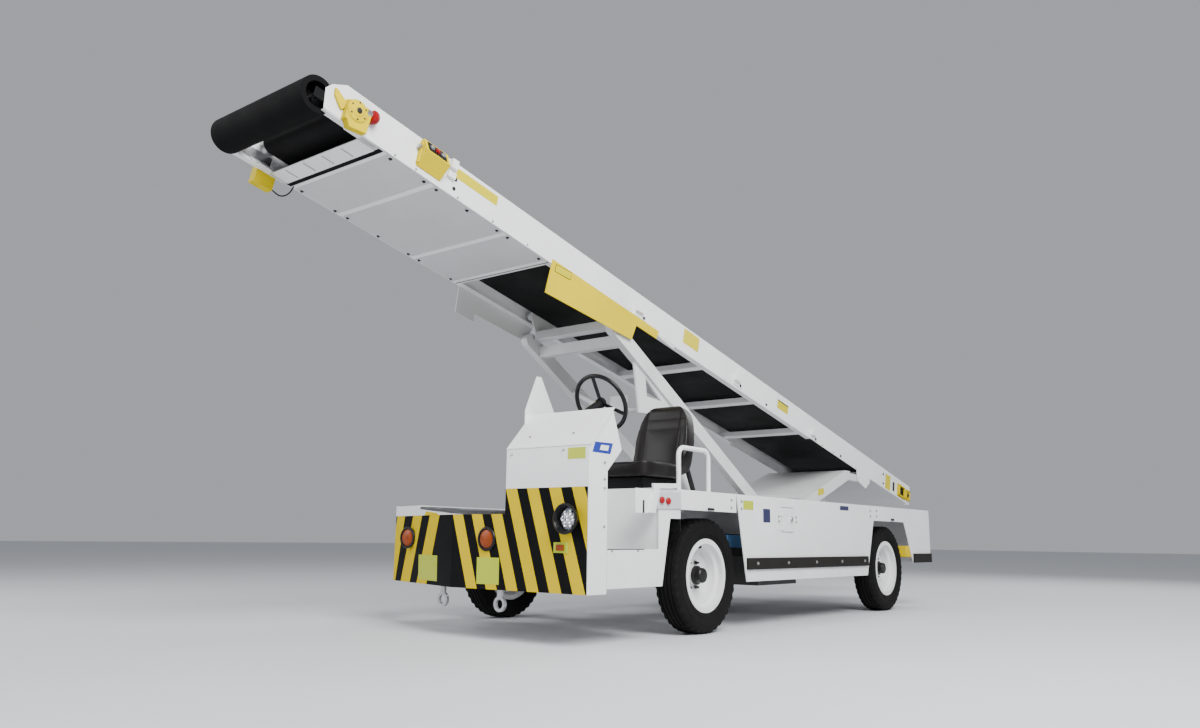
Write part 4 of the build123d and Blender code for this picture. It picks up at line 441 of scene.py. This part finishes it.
# Round lamps: rubber cup of the head lamp, and flanges with domed lenses; each is set in by its own depth
cup = [(0.060, 0.0), (0.070, -0.020), (0.084, -0.046), (0.089, -0.053), (0.089, -0.058), (0.084, -0.062),
       (0.077, -0.062), (0.073, -0.056), (0.066, -0.014), (0.020, -0.012)]
flange = [(0.061, 0.0), (0.074, -0.001), (0.075, -0.006), (0.071, -0.011), (0.061, -0.012),
          (0.058, -0.004), (0.020, -0.003)]
flange_screw = [(0.006, -0.009), (0.006, -0.014), (0.003, -0.015)]
dome = [(0.008, -0.018), (0.030, -0.0165), (0.048, -0.012), (0.057, -0.005)]
head = at(0.902, 0, 0.72)
housings = [turned(cup, head, REARWARD, 56)]
lenses = []
for x, proud, depth in ((0.232, 0.0, 0.030), (-0.744, 0.027, 0.056)):
    place = on_front(x, 0.601) - REARWARD * proud
    housings.append(turned([(0.061, depth)] + flange, place, REARWARD, 48))
    lenses.append(turned(dome, place, REARWARD, 40))
    for rise in (-0.067, 0.067):
        housings.append(turned(flange_screw, place + UPWARD * rise, REARWARD, 10))
lamp_housings = piece("lamp_housings", housings, "chassis", plastic)
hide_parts("head_lamp")
piece("amber_lenses", lenses, "chassis", amber)
# The head lamp's reflector, whose light grey colour paints its mirror reflection
reflector = [(0.008, -0.034), (0.030, -0.032), (0.048, -0.027), (0.060, -0.019), (0.0655, -0.013)]
piece("head_lens", [turned(reflector, head, REARWARD, 48)], "chassis", reflector_sheen)
outer_cell = [(0.016, -0.024), (0.015, -0.034), (0.010, -0.036), (0.004, -0.034)]
middle_cell = [(0.016, -0.028), (0.015, -0.036), (0.009, -0.039), (0.003, -0.037)]
cells = [turned(outer_cell, place, REARWARD, 18) for place in around(head, RIGHTWARD, UPWARD, 0.038)]
cells.append(turned(middle_cell, head, REARWARD, 18))
piece("head_cells", cells, "chassis", chrome)

# Cowl: the lapped hood plate, blank labels and fasteners
hood = [at(x, y, z) for x, y, z in ((0.375, -0.001, 1.141), (1.048, -0.001, 1.141), (1.048, 0.215, 1.376),
                                    (0.375, 0.215, 1.376))]
piece("hood_plate", [prism(hood, HOOD_OUT * 0.003)], "chassis", white, bevel=0.001)
hood_screws = [at(0.511, 0.066, 1.212), at(0.853, 0.072, 1.218)]
bolts("hood_screws", [place + HOOD_OUT * 0.003 for place in hood_screws], HOOD_OUT, "chassis", 0.009)
bolts("cowl_screws", [at(0.836, 0, 1.119), at(0.421, 0, 1.108)], -REARWARD, "chassis", 0.008)
cowl_side_bolts = [at(HALF_WIDTH, 0.142, z) for z in (0.679, 0.9, 0.95, 1.046)]
bolts("cowl_side_bolts", cowl_side_bolts, RIGHTWARD, "chassis", 0.009)
piece("cowl_label", [front_film(rectangle(0.869, 1.003, 1.062, 1.128), -REARWARD)], "chassis", blank_lime)
side_label = [(0.026, 1.10), (0.193, 1.098), (0.219, 1.164), (0.052, 1.161)]
piece("side_label", [side_patch(side_label)], "chassis", blank_blue)
label_field = [(0.094, 1.117), (0.168, 1.116), (0.181, 1.146), (0.107, 1.147)]
piece("side_label_field", [side_patch(label_field, HALF_WIDTH + FILM)], "chassis", blank_white)

# Driver's side: bracket with the two stop buttons
bracket = [[(0.611, 0.951), (0.617, 0.912), (0.683, 0.912), (0.683, 0.925), (0.821, 0.929), (0.897, 0.935),
            (0.897, 0.963)],
           [(0.617, 0.912), (0.683, 0.912), (0.633, 0.768), (0.572, 0.772)]]
piece("switch_bracket", [side_patch(outline, HALF_WIDTH, 0.016) for outline in bracket], "chassis", white,
      bevel=0.002)
switch_box = [(0.690, 0.905), (0.925, 0.912), (0.925, 0.803), (0.665, 0.798)]
piece("switch_box", [side_patch(switch_box, HALF_WIDTH, 0.010)], "chassis", box_grey, bevel=0.002)
button = [(0.020, 0), (0.022, 0.004), (0.022, 0.010), (0.017, 0.016), (0.008, 0.018)]
stops = [turned(button, at(HALF_WIDTH + 0.010, y, z), RIGHTWARD, 28)
         for y, z in ((0.702, 0.852), (0.772, 0.848))]
piece("stop_buttons", stops, "chassis", red)

# Step: black lining round the riser before the front wheel, a thin black line that paints the shadow along
# the skirt's top edge, key slot and screws
riser_wrap = slab(at(0.70, 0.9252, 0.6592), RIGHTWARD * 0.3308, UPWARD * 0.083, REARWARD * 0.008)
piece("riser_wrap", [riser_wrap], "chassis", frame_black)
# Thin black strip along the skirt's top edge: painted shadow of that edge
piece("step_shadow_line", [side_rectangle(0.174, 0.540, 0.549, 0.554)], "chassis", stripe_black)
piece("key_slot", [side_rectangle(0.517, 0.533, 0.768, 0.846, HALF_WIDTH, 0.004)], "chassis", plastic)
step_screws = [at(HALF_WIDTH, y, z) for y, z in ((0.218, 0.543), (0.472, 0.543), (0.633, 0.774))]
bolts("step_screws", step_screws, RIGHTWARD, "chassis", 0.008)

# Key plate by the seat, blue box behind the front wheel, and the blank label of the rear arm
piece("key_plate", [side_rectangle(0.443, 0.610, 0.768, 0.915, HALF_WIDTH, 0.002)], "chassis", white,
      bevel=0.0008)
blue_box = slab(at(0.66, 1.795, 0.505), RIGHTWARD * 0.20, REARWARD * 0.19, UPWARD * 0.145)
piece("blue_box", [blue_box], "chassis", box_blue, bevel=0.006)
arm_label = [at(ARM_FACE, y, z) for y, z in ((4.392, 1.046), (4.525, 1.071), (4.520, 1.129), (4.390, 1.112))]
piece("arm_label", [prism(arm_label, RIGHTWARD * PLATE)], "rear_lift", blank_yellow)

# Side panel: blank labels, joint bolts, the bolts of the rub rails, door latch and chock block
piece("side_lime", [side_rectangle(1.729, 1.870, 0.826, 0.890)], "chassis", blank_lime)
piece("side_card", [side_rectangle(1.902, 2.230, 0.650, 0.859)], "chassis", blank_white)
piece("side_navy", [side_rectangle(2.011, 2.117, 0.742, 0.841, HALF_WIDTH + FILM)], "chassis", blank_navy)
piece("deck_navy", [side_rectangle(3.330, 3.500, 0.871, 0.907)], "chassis", blank_navy)
panel_bolts = [(1.564, 0.885), (1.563, 0.833), (1.703, 0.881), (1.701, 0.830),
               (3.957, 0.885), (4.094, 0.887), (3.954, 0.836), (4.091, 0.837)]
bolts("panel_bolts", [at(HALF_WIDTH, y, z) for y, z in panel_bolts], RIGHTWARD, "chassis")
door_bolts = [(2.250, 0.791), (2.250, 0.755), (2.528, 0.791), (2.528, 0.757)]
bolts("door_bolts", [at(HALF_WIDTH, y, z) for y, z in door_bolts], RIGHTWARD, "chassis", 0.009)
for name, side in (("rail_bolts", 1), ("far_rail_bolts", -1)):
    places = [at(side * RUB_RAIL_FACE, y, RUB_RAIL_Z) for y in RUB_RAIL_BOLTS]
    bolts(name, places, RIGHTWARD * side, "chassis", 0.012)
markers = [side_rectangle(1.255, 1.330, 0.806, 0.822, HALF_WIDTH, 0.01),
           side_rectangle(4.430, 4.490, 0.808, 0.828, HALF_WIDTH, 0.01)]
piece("arch_markers", markers, "chassis", plastic, bevel=0.002)
latch_disc = [(0.016, 0), (0.018, 0.004), (0.014, 0.010), (0.006, 0.012)]
latch = [turned(latch_disc, at(HALF_WIDTH + 0.006, 2.438, 0.773), RIGHTWARD, 28),
         slab(at(HALF_WIDTH + 0.012, 2.434, 0.752), REARWARD * 0.008, UPWARD * 0.042, RIGHTWARD * 0.008)]
piece("door_latch", latch, "access_door", steel, bevel=0.001)
chock = slab(at(0.94, 4.80, 0.475), RIGHTWARD * 0.083, REARWARD * 0.25, UPWARD * 0.105)
piece("chock_block", [chock], "chassis", yellow, bevel=0.006)


# Boom: nose plates with their lips, and a black block over the roller's spindle that paints the shade of the
# roller's bore

def boom_box(x0, x1, u0, u1, v0, v1):
    return slab(on_boom(x0, u0, v0), RIGHTWARD * (x1 - x0), ALONG * (u1 - u0), ABOVE * (v1 - v0))


def boom_patch(x, outline, thick):
    return prism([on_boom(x, u, v) for u, v in outline], RIGHTWARD * thick)


nose = [(8.06, 0.0), (8.360, 0.004), (8.380, 0.120), (8.348, 0.163), (8.262, 0.214), (8.06, 0.214)]
piece("nose_plates", [boom_patch(RAIL_LEFT, nose, NOSE_PLATE), boom_patch(RAIL_RIGHT, nose, -NOSE_PLATE)],
      "boom", boom_white, bevel=0.001)
nose_lips = [boom_box(RAIL_LEFT - 0.040, OUTER, 7.985, 8.360, -0.004, 0.0),
             boom_box(RAIL_RIGHT - NOSE_PLATE, RAIL_RIGHT + 0.040, 7.985, 8.360, -0.004, 0.0)]
piece("nose_lips", nose_lips, "boom", boom_white, bevel=0.001)
# Black block over the spindle's bracket: painted shade of the dark bore of the roller
spindle_shade_block = boom_box(RAIL_LEFT - 0.015, RAIL_LEFT - 0.003, 8.350, 8.431, 0.039, 0.101)
piece("spindle_shade_block", [spindle_shade_block], "boom", frame_black, bevel=0.003)

# Stop box: round housing with its shroud and lever, and the mushroom button on its rear face
hub_place = on_boom(OUTER, 8.186, 0.080)
housing = [(0.066, 0), (0.068, 0.006), (0.068, 0.040), (0.062, 0.050), (0.034, 0.054), (0.030, 0.058),
           (0.016, 0.058)]
shroud = [(8.246, 0.060), (8.240, 0.010), (8.214, -0.034), (8.100, -0.012), (8.096, 0.100), (8.130, 0.140)]
piece("stop_housing", [turned(housing, hub_place, RIGHTWARD, 48), boom_patch(OUTER, shroud, 0.044)],
      "boom", guard_yellow, bevel=0.004)
lever = [(8.218, 0.150), (8.236, 0.100), (8.262, 0.050), (8.282, 0.062), (8.326, 0.108), (8.332, 0.148),
         (8.318, 0.150), (8.262, 0.118)]
piece("stop_lever", [boom_patch(OUTER, lever, 0.014)], "boom", guard_yellow, bevel=0.003)
middle_screw = [(0.017, 0.0), (0.017, 0.003), (0.012, 0.004)]
rim_screw = [(0.006, 0.0), (0.006, 0.002), (0.004, 0.003)]
rosette = [turned(middle_screw, hub_place + RIGHTWARD * 0.058, RIGHTWARD, 24)]
for place in around(hub_place + RIGHTWARD * 0.051, ALONG, ABOVE, 0.050, 0.4):
    rosette.append(turned(rim_screw, place, RIGHTWARD, 10))
piece("stop_screws", rosette, "boom", black_bolt)
push = on_boom(RAIL_LEFT + 0.030, 8.128, 0.116)
collar = [(0.026, 0), (0.026, 0.020), (0.021, 0.024), (0.021, 0.036)]
piece("push_collar", [turned(collar, push, -ALONG, 32)], "boom", steel)
mushroom = [(0.030, 0.034), (0.040, 0.040), (0.041, 0.052), (0.037, 0.068), (0.026, 0.082), (0.010, 0.088)]
piece("push_button", [turned(mushroom, push, -ALONG, 40)], "boom", red)

# Control box: black panel with three push buttons on its slanted face
face_top, face_low = Vector((0.026, 0.208)), Vector((0.074, 0.122))
FACE_RISE, FACE_REACH = 0.487, 0.873


def on_panel(u, share, lift=0.0):
    section = face_top.lerp(face_low, share)
    return on_boom(RAIL_LEFT + section.x + FACE_REACH * lift, u, section.y + FACE_RISE * lift)


PANEL_OUT = (on_panel(0, 0, 1) - on_panel(0, 0, 0)).normalized()
panel = [on_panel(u, share) for u, share in rectangle(7.545, 7.690, 0.12, 0.88)]
piece("control_panel", [prism(panel, PANEL_OUT * 0.004)], "boom", plastic, bevel=0.001)
push_profile = [(0.017, 0), (0.017, 0.004), (0.013, 0.005), (0.013, 0.010), (0.010, 0.012)]
for label, u, look in (("front", 7.662, zinc), ("middle", 7.618, red), ("rear", 7.574, zinc)):
    piece("control_" + label, [turned(push_profile, on_panel(u, 0.5, 0.004), PANEL_OUT, 28)], "boom", look)
control_lid = boom_box(OUTER - 0.005, OUTER + 0.022, 7.705, 7.716, 0.05, 0.19)
piece("control_lid", [control_lid], "boom", guard_yellow, bevel=0.002)
plug = turned([(0.014, 0), (0.014, 0.016), (0.010, 0.020)], on_boom(OUTER + 0.016, 7.716, 0.150), ALONG, 24)
piece("control_plug", [plug], "boom", zinc)

# Clamp and lugs on the rail, each with its bolt
LUG_PLATE = 0.008
clamps = [boom_box(RAIL_LEFT, RAIL_LEFT + 0.036, 7.430, 7.480, 0.150, 0.212),
          boom_box(RAIL_LEFT, RAIL_LEFT + 0.022, 7.420, 7.480, 0.095, 0.135)]
lug_places = ((5.477, 0.081), (4.015, 0.070), (2.544, 0.050))
for u, v in lug_places:
    clamps.append(boom_box(RAIL_LEFT, RAIL_LEFT + 0.036, u - 0.042, u + 0.042, v - 0.018, v + 0.040))
    clamps.append(boom_box(RAIL_LEFT, RAIL_LEFT + LUG_PLATE, u - 0.110, u + 0.042, v - 0.050, v - 0.010))
piece("rail_lugs", clamps, "boom", boom_white, bevel=0.002)
heads = [on_boom(RAIL_LEFT + LUG_PLATE, u - 0.075, v - 0.030) for u, v in lug_places]
loose_heads = ((7.402, 0.050), (7.404, 0.113), (0.780, 0.149), (0.769, 0.047), (3.459, 0.033), (1.877, 0.029))
heads += [on_boom(RAIL_LEFT, u, v) for u, v in loose_heads]
bolts("rail_bolt_heads", heads, RIGHTWARD, "boom", 0.013, black_bolt)
rivets = [on_boom(RAIL_LEFT, u, 0.012) for u in (7.86, 7.70, 7.36, 7.05, 6.72, 2.30, 2.05, 1.50)]
bolts("rail_rivets", rivets, RIGHTWARD, "boom", 0.007)

# Blank plates along the rail and on the guard
plate_outlines = [rectangle(7.410, 7.045, 0.126, 0.192), rectangle(4.855, 4.628, 0.078, 0.200),
                  rectangle(3.258, 3.050, 0.076, 0.158), rectangle(0.712, 0.570, 0.012, 0.176)]
plates = [boom_patch(RAIL_LEFT, outline, PLATE) for outline in plate_outlines]
piece("boom_plates", plates, "boom", blank_yellow)
plate_head = boom_patch(RAIL_LEFT + PLATE, rectangle(3.258, 3.050, 0.148, 0.158), FILM)
piece("plate_head", [plate_head], "boom", stripe_black)
plate_edge = [(6.430, -0.046), (6.262, -0.034), (6.262, 0.026), (6.430, 0.010)]
piece("guard_plate_edge", [boom_patch(GUARD_FACE, plate_edge, FILM)], "boom", stripe_black)
plate_field = [(6.426, -0.042), (6.266, -0.030), (6.266, 0.021), (6.426, 0.006)]
piece("guard_plate", [boom_patch(GUARD_FACE + FILM, plate_field, FILM)], "boom", blank_yellow)

# Tail: slot, and two framed boxes with a recess and a knob
piece("tail_slot", [boom_patch(RAIL_LEFT, rectangle(0.455, 0.500, 0.040, 0.140), 0.004)], "boom", plastic)
FRAME_OUT = TAIL_FACE + 0.016
frames = []
for u0, u1, v0, v1 in ((0.186, 0.350, 0.026, 0.152), (0.030, 0.140, 0.034, 0.150)):
    frames += [boom_box(RAIL_LEFT, FRAME_OUT, u0, u1, v0, v0 + 0.014),
               boom_box(RAIL_LEFT, FRAME_OUT, u0, u1, v1 - 0.014, v1),
               boom_box(RAIL_LEFT, FRAME_OUT, u0, u0 + 0.016, v0, v1),
               boom_box(RAIL_LEFT, FRAME_OUT, u1 - 0.016, u1, v0, v1)]
piece("tail_frames", frames, "boom", guard_yellow, bevel=0.002)
tail_recess = boom_box(RAIL_LEFT, TAIL_FACE + 0.002, 0.202, 0.334, 0.040, 0.138)
piece("tail_recess", [tail_recess], "boom", frame_black)
piece("tail_recess_small", [boom_box(RAIL_LEFT, TAIL_FACE, 0.046, 0.124, 0.048, 0.136)], "boom", guard_yellow)
knob = turned([(0.024, 0), (0.024, 0.012), (0.016, 0.018)], on_boom(TAIL_FACE, 0.085, 0.092), RIGHTWARD, 28)
piece("tail_knob", [knob], "boom", plastic)

# Underside: light strips over the pan's joints, black strips that paint the shade in its gaps, the flap at
# the nose with its hinges, and edge bolts
strips = [boom_box(PAN_RIGHT, PAN_LEFT, u - 0.018, u + 0.018, PAN_UNDER - 0.003, PAN_UNDER)
          for u in (6.918, 7.553)]
strips.append(boom_box(PAN_RIGHT, PAN_LEFT, 6.500, 6.530, STRIP_UNDER, PAN_UNDER))
strips.append(boom_box(PAN_RIGHT + 0.02, PAN_LEFT - 0.04, 7.962, 8.086, STRIP_UNDER, PAN_UNDER))
strips.append(boom_box(PAN_RIGHT, PAN_LEFT, 7.905, 7.930, STRIP_UNDER, PAN_UNDER))
piece("pan_strips", strips, "boom", boom_white, bevel=0.0008)
# Black strips in the gap by the flap and at the pan's rear: painted shade in the gaps
gap_shades = [boom_box(PAN_RIGHT, PAN_LEFT, 7.930, 7.962, PAN_UNDER - 0.001, PAN_UNDER),
        boom_box(PAN_RIGHT, PAN_LEFT, 6.486, 6.500, PAN_UNDER, PAN_UNDER + 0.004)]
piece("pan_gap_shade", gap_shades, "boom", stripe_black)
hinges = [boom_box(x, x + 0.010, 7.980, 8.070, PAN_UNDER - 0.0065, STRIP_UNDER)
          for x in (-0.42, -0.24, -0.06, 0.12)]
piece("flap_hinges", hinges, "boom", zinc, bevel=0.0008)
pan_edge = [on_boom(x, u, PAN_UNDER) for x in (RAIL_RIGHT + 0.035, RAIL_LEFT - 0.035)
            for u in (7.86, 7.60, 7.50, 7.24, 6.97, 6.87, 6.56)]
bolts("pan_bolts", pan_edge, -ABOVE, "boom", 0.012, black_bolt)


# Cable from the box on the far rail, round the rail's lower edge and up to the pan

def cable(name, points, diameter):
    data = bpy.data.curves.new(name, "CURVE")
    data.dimensions = "3D"
    data.bevel_depth = diameter / 2
    data.bevel_resolution = 4
    data.resolution_u = 16
    line = data.splines.new("NURBS")
    line.points.add(len(points) - 1)
    for target, point in zip(line.points, points):
        target.co = (*point, 1)
    line.order_u = 3
    line.use_endpoint_u = True
    data.materials.append(plastic)
    thing = link(name, data)
    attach(thing, "boom")


far_route = [on_boom(x, u, v) for x, u, v in (
    (-0.612, 8.034, -0.060), (-0.612, 8.000, -0.072), (-0.600, 7.960, -0.085), (-0.570, 7.935, -0.070),
    (-0.545, 7.925, -0.035), (-0.540, 7.925, -0.004))]
cable("far_cable", far_route, 0.009)

# Wheels: ribbed tyres over the plain ones, with hub caps, nuts and valves
tread = [(0.2155, 0.0735), (0.2435, 0.0745), (0.250, 0.083), (0.262, 0.0865), (0.270, 0.0885),
         (0.2715, 0.0925), (0.2745, 0.0925), (0.276, 0.0905), (0.302, 0.0945), (0.325, 0.0945),
         (0.328, 0.092), (0.333, 0.092), (0.336, 0.0925), (0.356, 0.088), (0.366, 0.083), (0.374, 0.076),
         (0.3768, 0.066), (0.3772, 0.052), (0.368, 0.050), (0.368, 0.043), (0.3776, 0.041),
         (0.3779, 0.022), (0.3685, 0.020), (0.3685, 0.013), (0.378, 0.011)]
tyre_profile = tread + [(r, -t) for r, t in reversed(tread)]
lug_rows = [i for i, (r, t) in enumerate(tyre_profile) if 0.350 <= r <= 0.3775 and abs(t) > 0.06]
cap_profile = [(0.064, -0.004), (0.064, 0.010), (0.056, 0.016), (0.050, 0.018), (0.050, 0.052),
               (0.044, 0.060), (0.012, 0.062)]


def ribbed_tyre(hub, out):
    # Every other pair of steps round the shoulder is sunk, which leaves its lugs standing.
    verts, faces = turned(tyre_profile, hub, out, TREAD_SIDES, closed=True)
    for i in range(TREAD_SIDES):
        if i % 4 < 2:
            continue
        for row in lug_rows:
            k = i * len(tyre_profile) + row
            inward = hub - verts[k]
            drop = Vector((inward.x * 0.05, inward.y, inward.z))
            verts[k] = verts[k] + drop.normalized() * LUG_DEPTH
    return verts, faces


for side, sign in (("left", 1), ("right", -1)):
    for end, axle_y in AXLES.items():
        wheel = end + "_" + side
        body = "wheel_" + wheel
        hub = at(sign * WHEEL_X, axle_y, WHEEL_Z)
        out = RIGHTWARD * sign
        cover = piece("tread_" + wheel, [ribbed_tyre(hub, out)], body, tyre_rubber, sharp=28)
        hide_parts("tyre_" + wheel)
        feet = [place - out * NUT_FACE for place in around(hub, REARWARD, UPWARD, NUT_CIRCLE)]
        cap = [turned(cap_profile, hub, out, 40)]
        for foot in feet:
            cap.append(turned([(0.013, 0), (0.013, 0.016), (0.009, 0.020)], foot, out, 6))
            cap.append(turned([(0.007, 0.016), (0.007, 0.034), (0.004, 0.036)], foot, out, 12))
        piece("hub_" + wheel, cap, body, hub_black)
        # Black cup in the rim's window: painted shade seen through the hole; the stem with it is the real
        # valve
        slot_place = hub + UPWARD * 0.189 + out * 0.030
        window_shade = turned([(0.013, -0.01), (0.013, 0.006), (0.009, 0.009)], slot_place, out, 24)
        valve_place = hub - UPWARD * 0.178 - out * 0.036
        stem = turned([(0.005, 0.0), (0.005, 0.03), (0.003, 0.032)], valve_place, out, 12)
        piece("window_" + wheel, [window_shade, stem], body, plastic)
        washers = [turned([(0.019, -0.002), (0.019, 0.002), (0.016, 0.004)], foot, out, 24) for foot in feet]
        piece("washers_" + wheel, washers, body, zinc)


# Driver's seat: crowned pads with side rolls and sewn channels

def eased(share):
    # Brings the grid's lines closer together towards both edges.
    return (1 - (1 - abs(share)) ** 2.4) * (1 if share >= 0 else -1)


def pad(name, place, width_at, length, thick, crown, roll, seams, rows=64):
    # Grid over a plan of given length; each column is swollen above and flat below.
    verts, faces = [], []
    for layer in (1, -1):
        for i in range(rows + 1):
            for j in range(rows + 1):
                s, t = 2 * i / rows - 1, 2 * j / rows - 1
                sx, ty = eased(s), eased(t)
                half = width_at(ty)
                fall = max((1 - abs(s) ** 5) * (1 - abs(t) ** 5), 0) ** 0.4
                x = half * sx * (1 - 0.22 * abs(ty) ** 7) ** 0.5
                y = length / 2 * ty * (1 - 0.22 * abs(sx) ** 7) ** 0.5
                if layer > 0:
                    side_roll = roll * max(0, (abs(sx) - 0.55) / 0.45) ** 2 * (1 - 0.6 * max(ty, 0))
                    rise = thick / 2 + crown * (1 - sx * sx) * (1 - ty * ty) + side_roll
                    for axis, where, depth in seams:
                        gap = (x if axis == "x" else y) - where
                        rise -= depth * exp(-(gap / 0.005) ** 2)
                else:
                    rise = -thick / 2
                verts.append(place @ Vector((x, y, rise * fall)))
    count = (rows + 1) ** 2
    for layer in (0, 1):
        for i in range(rows):
            for j in range(rows):
                a = layer * count + i * (rows + 1) + j
                faces.append((a, a + 1, a + rows + 2, a + rows + 1))
    mesh = bpy.data.meshes.new(name)
    mesh.from_pydata(verts, [], faces)
    work = bmesh.new()
    work.from_mesh(mesh)
    bmesh.ops.remove_doubles(work, verts=work.verts, dist=0.0002)
    bmesh.ops.recalc_face_normals(work, faces=work.faces)
    for face in work.faces:
        face.smooth = True
    work.to_mesh(mesh)
    work.free()
    mesh.materials.append(vinyl)
    thing = link(name, mesh)
    swell(thing, place, thick, seams)
    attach(thing, "chassis")
    return thing


def swell(thing, place, thick, seams):
    # Air pressure fills the cover between its sewn lines; the result is copied back onto the mesh.
    mesh = thing.data
    home = place.inverted()
    held = []
    for vert in mesh.vertices:
        spot = home @ vert.co
        near = any(abs((spot.x if axis == "x" else spot.y) - where) < 0.006 for axis, where, depth in seams)
        if (near and spot.z > 0) or spot.z < -thick * 0.3:
            held.append(vert.index)
    group = thing.vertex_groups.new(name="sewn")
    group.add(held, 1.0, "REPLACE")
    cloth = thing.modifiers.new("swell", "CLOTH")
    cloth.settings.quality = 5
    cloth.settings.mass = 0.3
    cloth.settings.tension_stiffness = 12
    cloth.settings.compression_stiffness = 12
    cloth.settings.bending_stiffness = 0.6
    cloth.settings.use_pressure = True
    cloth.settings.uniform_pressure_force = 4
    cloth.settings.vertex_group_mass = "sewn"
    cloth.settings.effector_weights.gravity = 0
    cloth.point_cache.frame_start = 1
    cloth.point_cache.frame_end = SWELL_FRAMES
    stage = bpy.context.scene
    for number in range(1, SWELL_FRAMES + 1):
        stage.frame_set(number)
    swollen = thing.evaluated_get(bpy.context.evaluated_depsgraph_get()).to_mesh()
    moves = []
    for vert, risen in zip(mesh.vertices, swollen.vertices):
        move = risen.co - vert.co
        moves.append(move * (SWELL_CAP / move.length) if move.length > SWELL_CAP else move)
    for vert, move in zip(mesh.vertices, moves):
        vert.co = vert.co + move
    thing.modifiers.remove(cloth)
    stage.frame_set(1)


def cushion_half(t):
    return 0.232 + 0.003 * t


def back_half(t):
    return 0.218 - 0.036 * max(0, t + 0.1) ** 1.3 - 0.02 * max(0, t) ** 4


cushion_place = Matrix.Translation(at(SEAT_X, 0.905, 1.052))
cushion_seams = [("x", -0.145, 0.006), ("x", 0.145, 0.006), ("y", -0.165, 0.006), ("y", 0.03, 0.004)]
cushion = pad("seat_pad", cushion_place, cushion_half, 0.448, 0.094, 0.010, 0.014, cushion_seams)
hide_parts("seat_cushion")
BACK_RAKE = radians(90 - 13)
back_place = Matrix.Translation(at(SEAT_X, 1.240, 1.283)) @ Matrix.Rotation(BACK_RAKE, 4, "X")
back_seams = [("x", -0.140, 0.006), ("x", 0.140, 0.006), ("y", 0.085, 0.005), ("y", 0.150, 0.005)]
back = pad("seat_back_pad", back_place, back_half, 0.488, 0.094, 0.004, 0.022, back_seams)
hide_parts("seat_back")

# Slanted legs that carry the backrest's frame on the deck
leg = [(1.232, 1.090), (1.262, 1.090), (1.345, DECK_TOP), (1.315, DECK_TOP)]
stand = [side_patch(leg, SEAT_X + shift, 0.026) for shift in (-0.186, 0.160)]
piece("seat_stand", stand, "chassis", plastic, bevel=0.003)


# Scene: floor, light and camera

def studio_plane(name, corners, colour):
    mesh = bpy.data.meshes.new(name)
    mesh.from_pydata([Vector(c) for c in corners], [], [(0, 1, 2, 3)])
    mesh.materials.append(finish(name + "_finish", colour, rough=0.7, shade=0.98, relief=0.0, patch=0.4))
    thing = link(name, mesh)


def lamp(name, place, target, size, power):
    light = bpy.data.lights.new(name, "AREA")
    light.size = size
    light.energy = power
    thing = link(name, light)
    thing.location = place
    thing.rotation_euler = (Vector(target) - Vector(place)).to_track_quat("-Z", "Y").to_euler()


studio_plane("floor", [(-60, -40, 0), (60, -40, 0), (60, 80, 0), (-60, 80, 0)], (0.62, 0.63, 0.65))
lamp("key", (7, -5, 7), (0, 0, 1), 5, 1700)
lamp("fill", (-6, -8, 5), (0, -1, 1), 6, 520)
lamp("rim", (2, 9, 7), (0, 1, 1), 6, 500)
world = bpy.data.worlds.new("studio")
bpy.context.scene.world = world
world.use_nodes = True
world.node_tree.nodes["Background"].inputs["Color"].default_value = (0.80, 0.83, 0.88, 1)
world.node_tree.nodes["Background"].inputs["Strength"].default_value = 0.5

camera_data = bpy.data.cameras.new("camera")
camera_data.sensor_width = 36
camera_data.lens = LENS
camera = link("camera", camera_data)
turn = (Matrix.Rotation(CAMERA_HEADING, 4, "Z") @ Matrix.Rotation(CAMERA_TILT, 4, "X")
        @ Matrix.Rotation(CAMERA_ROLL, 4, "Z"))
camera.matrix_world = Matrix.Translation(at(*CAMERA_PLACE)) @ turn
bpy.context.scene.camera = camera
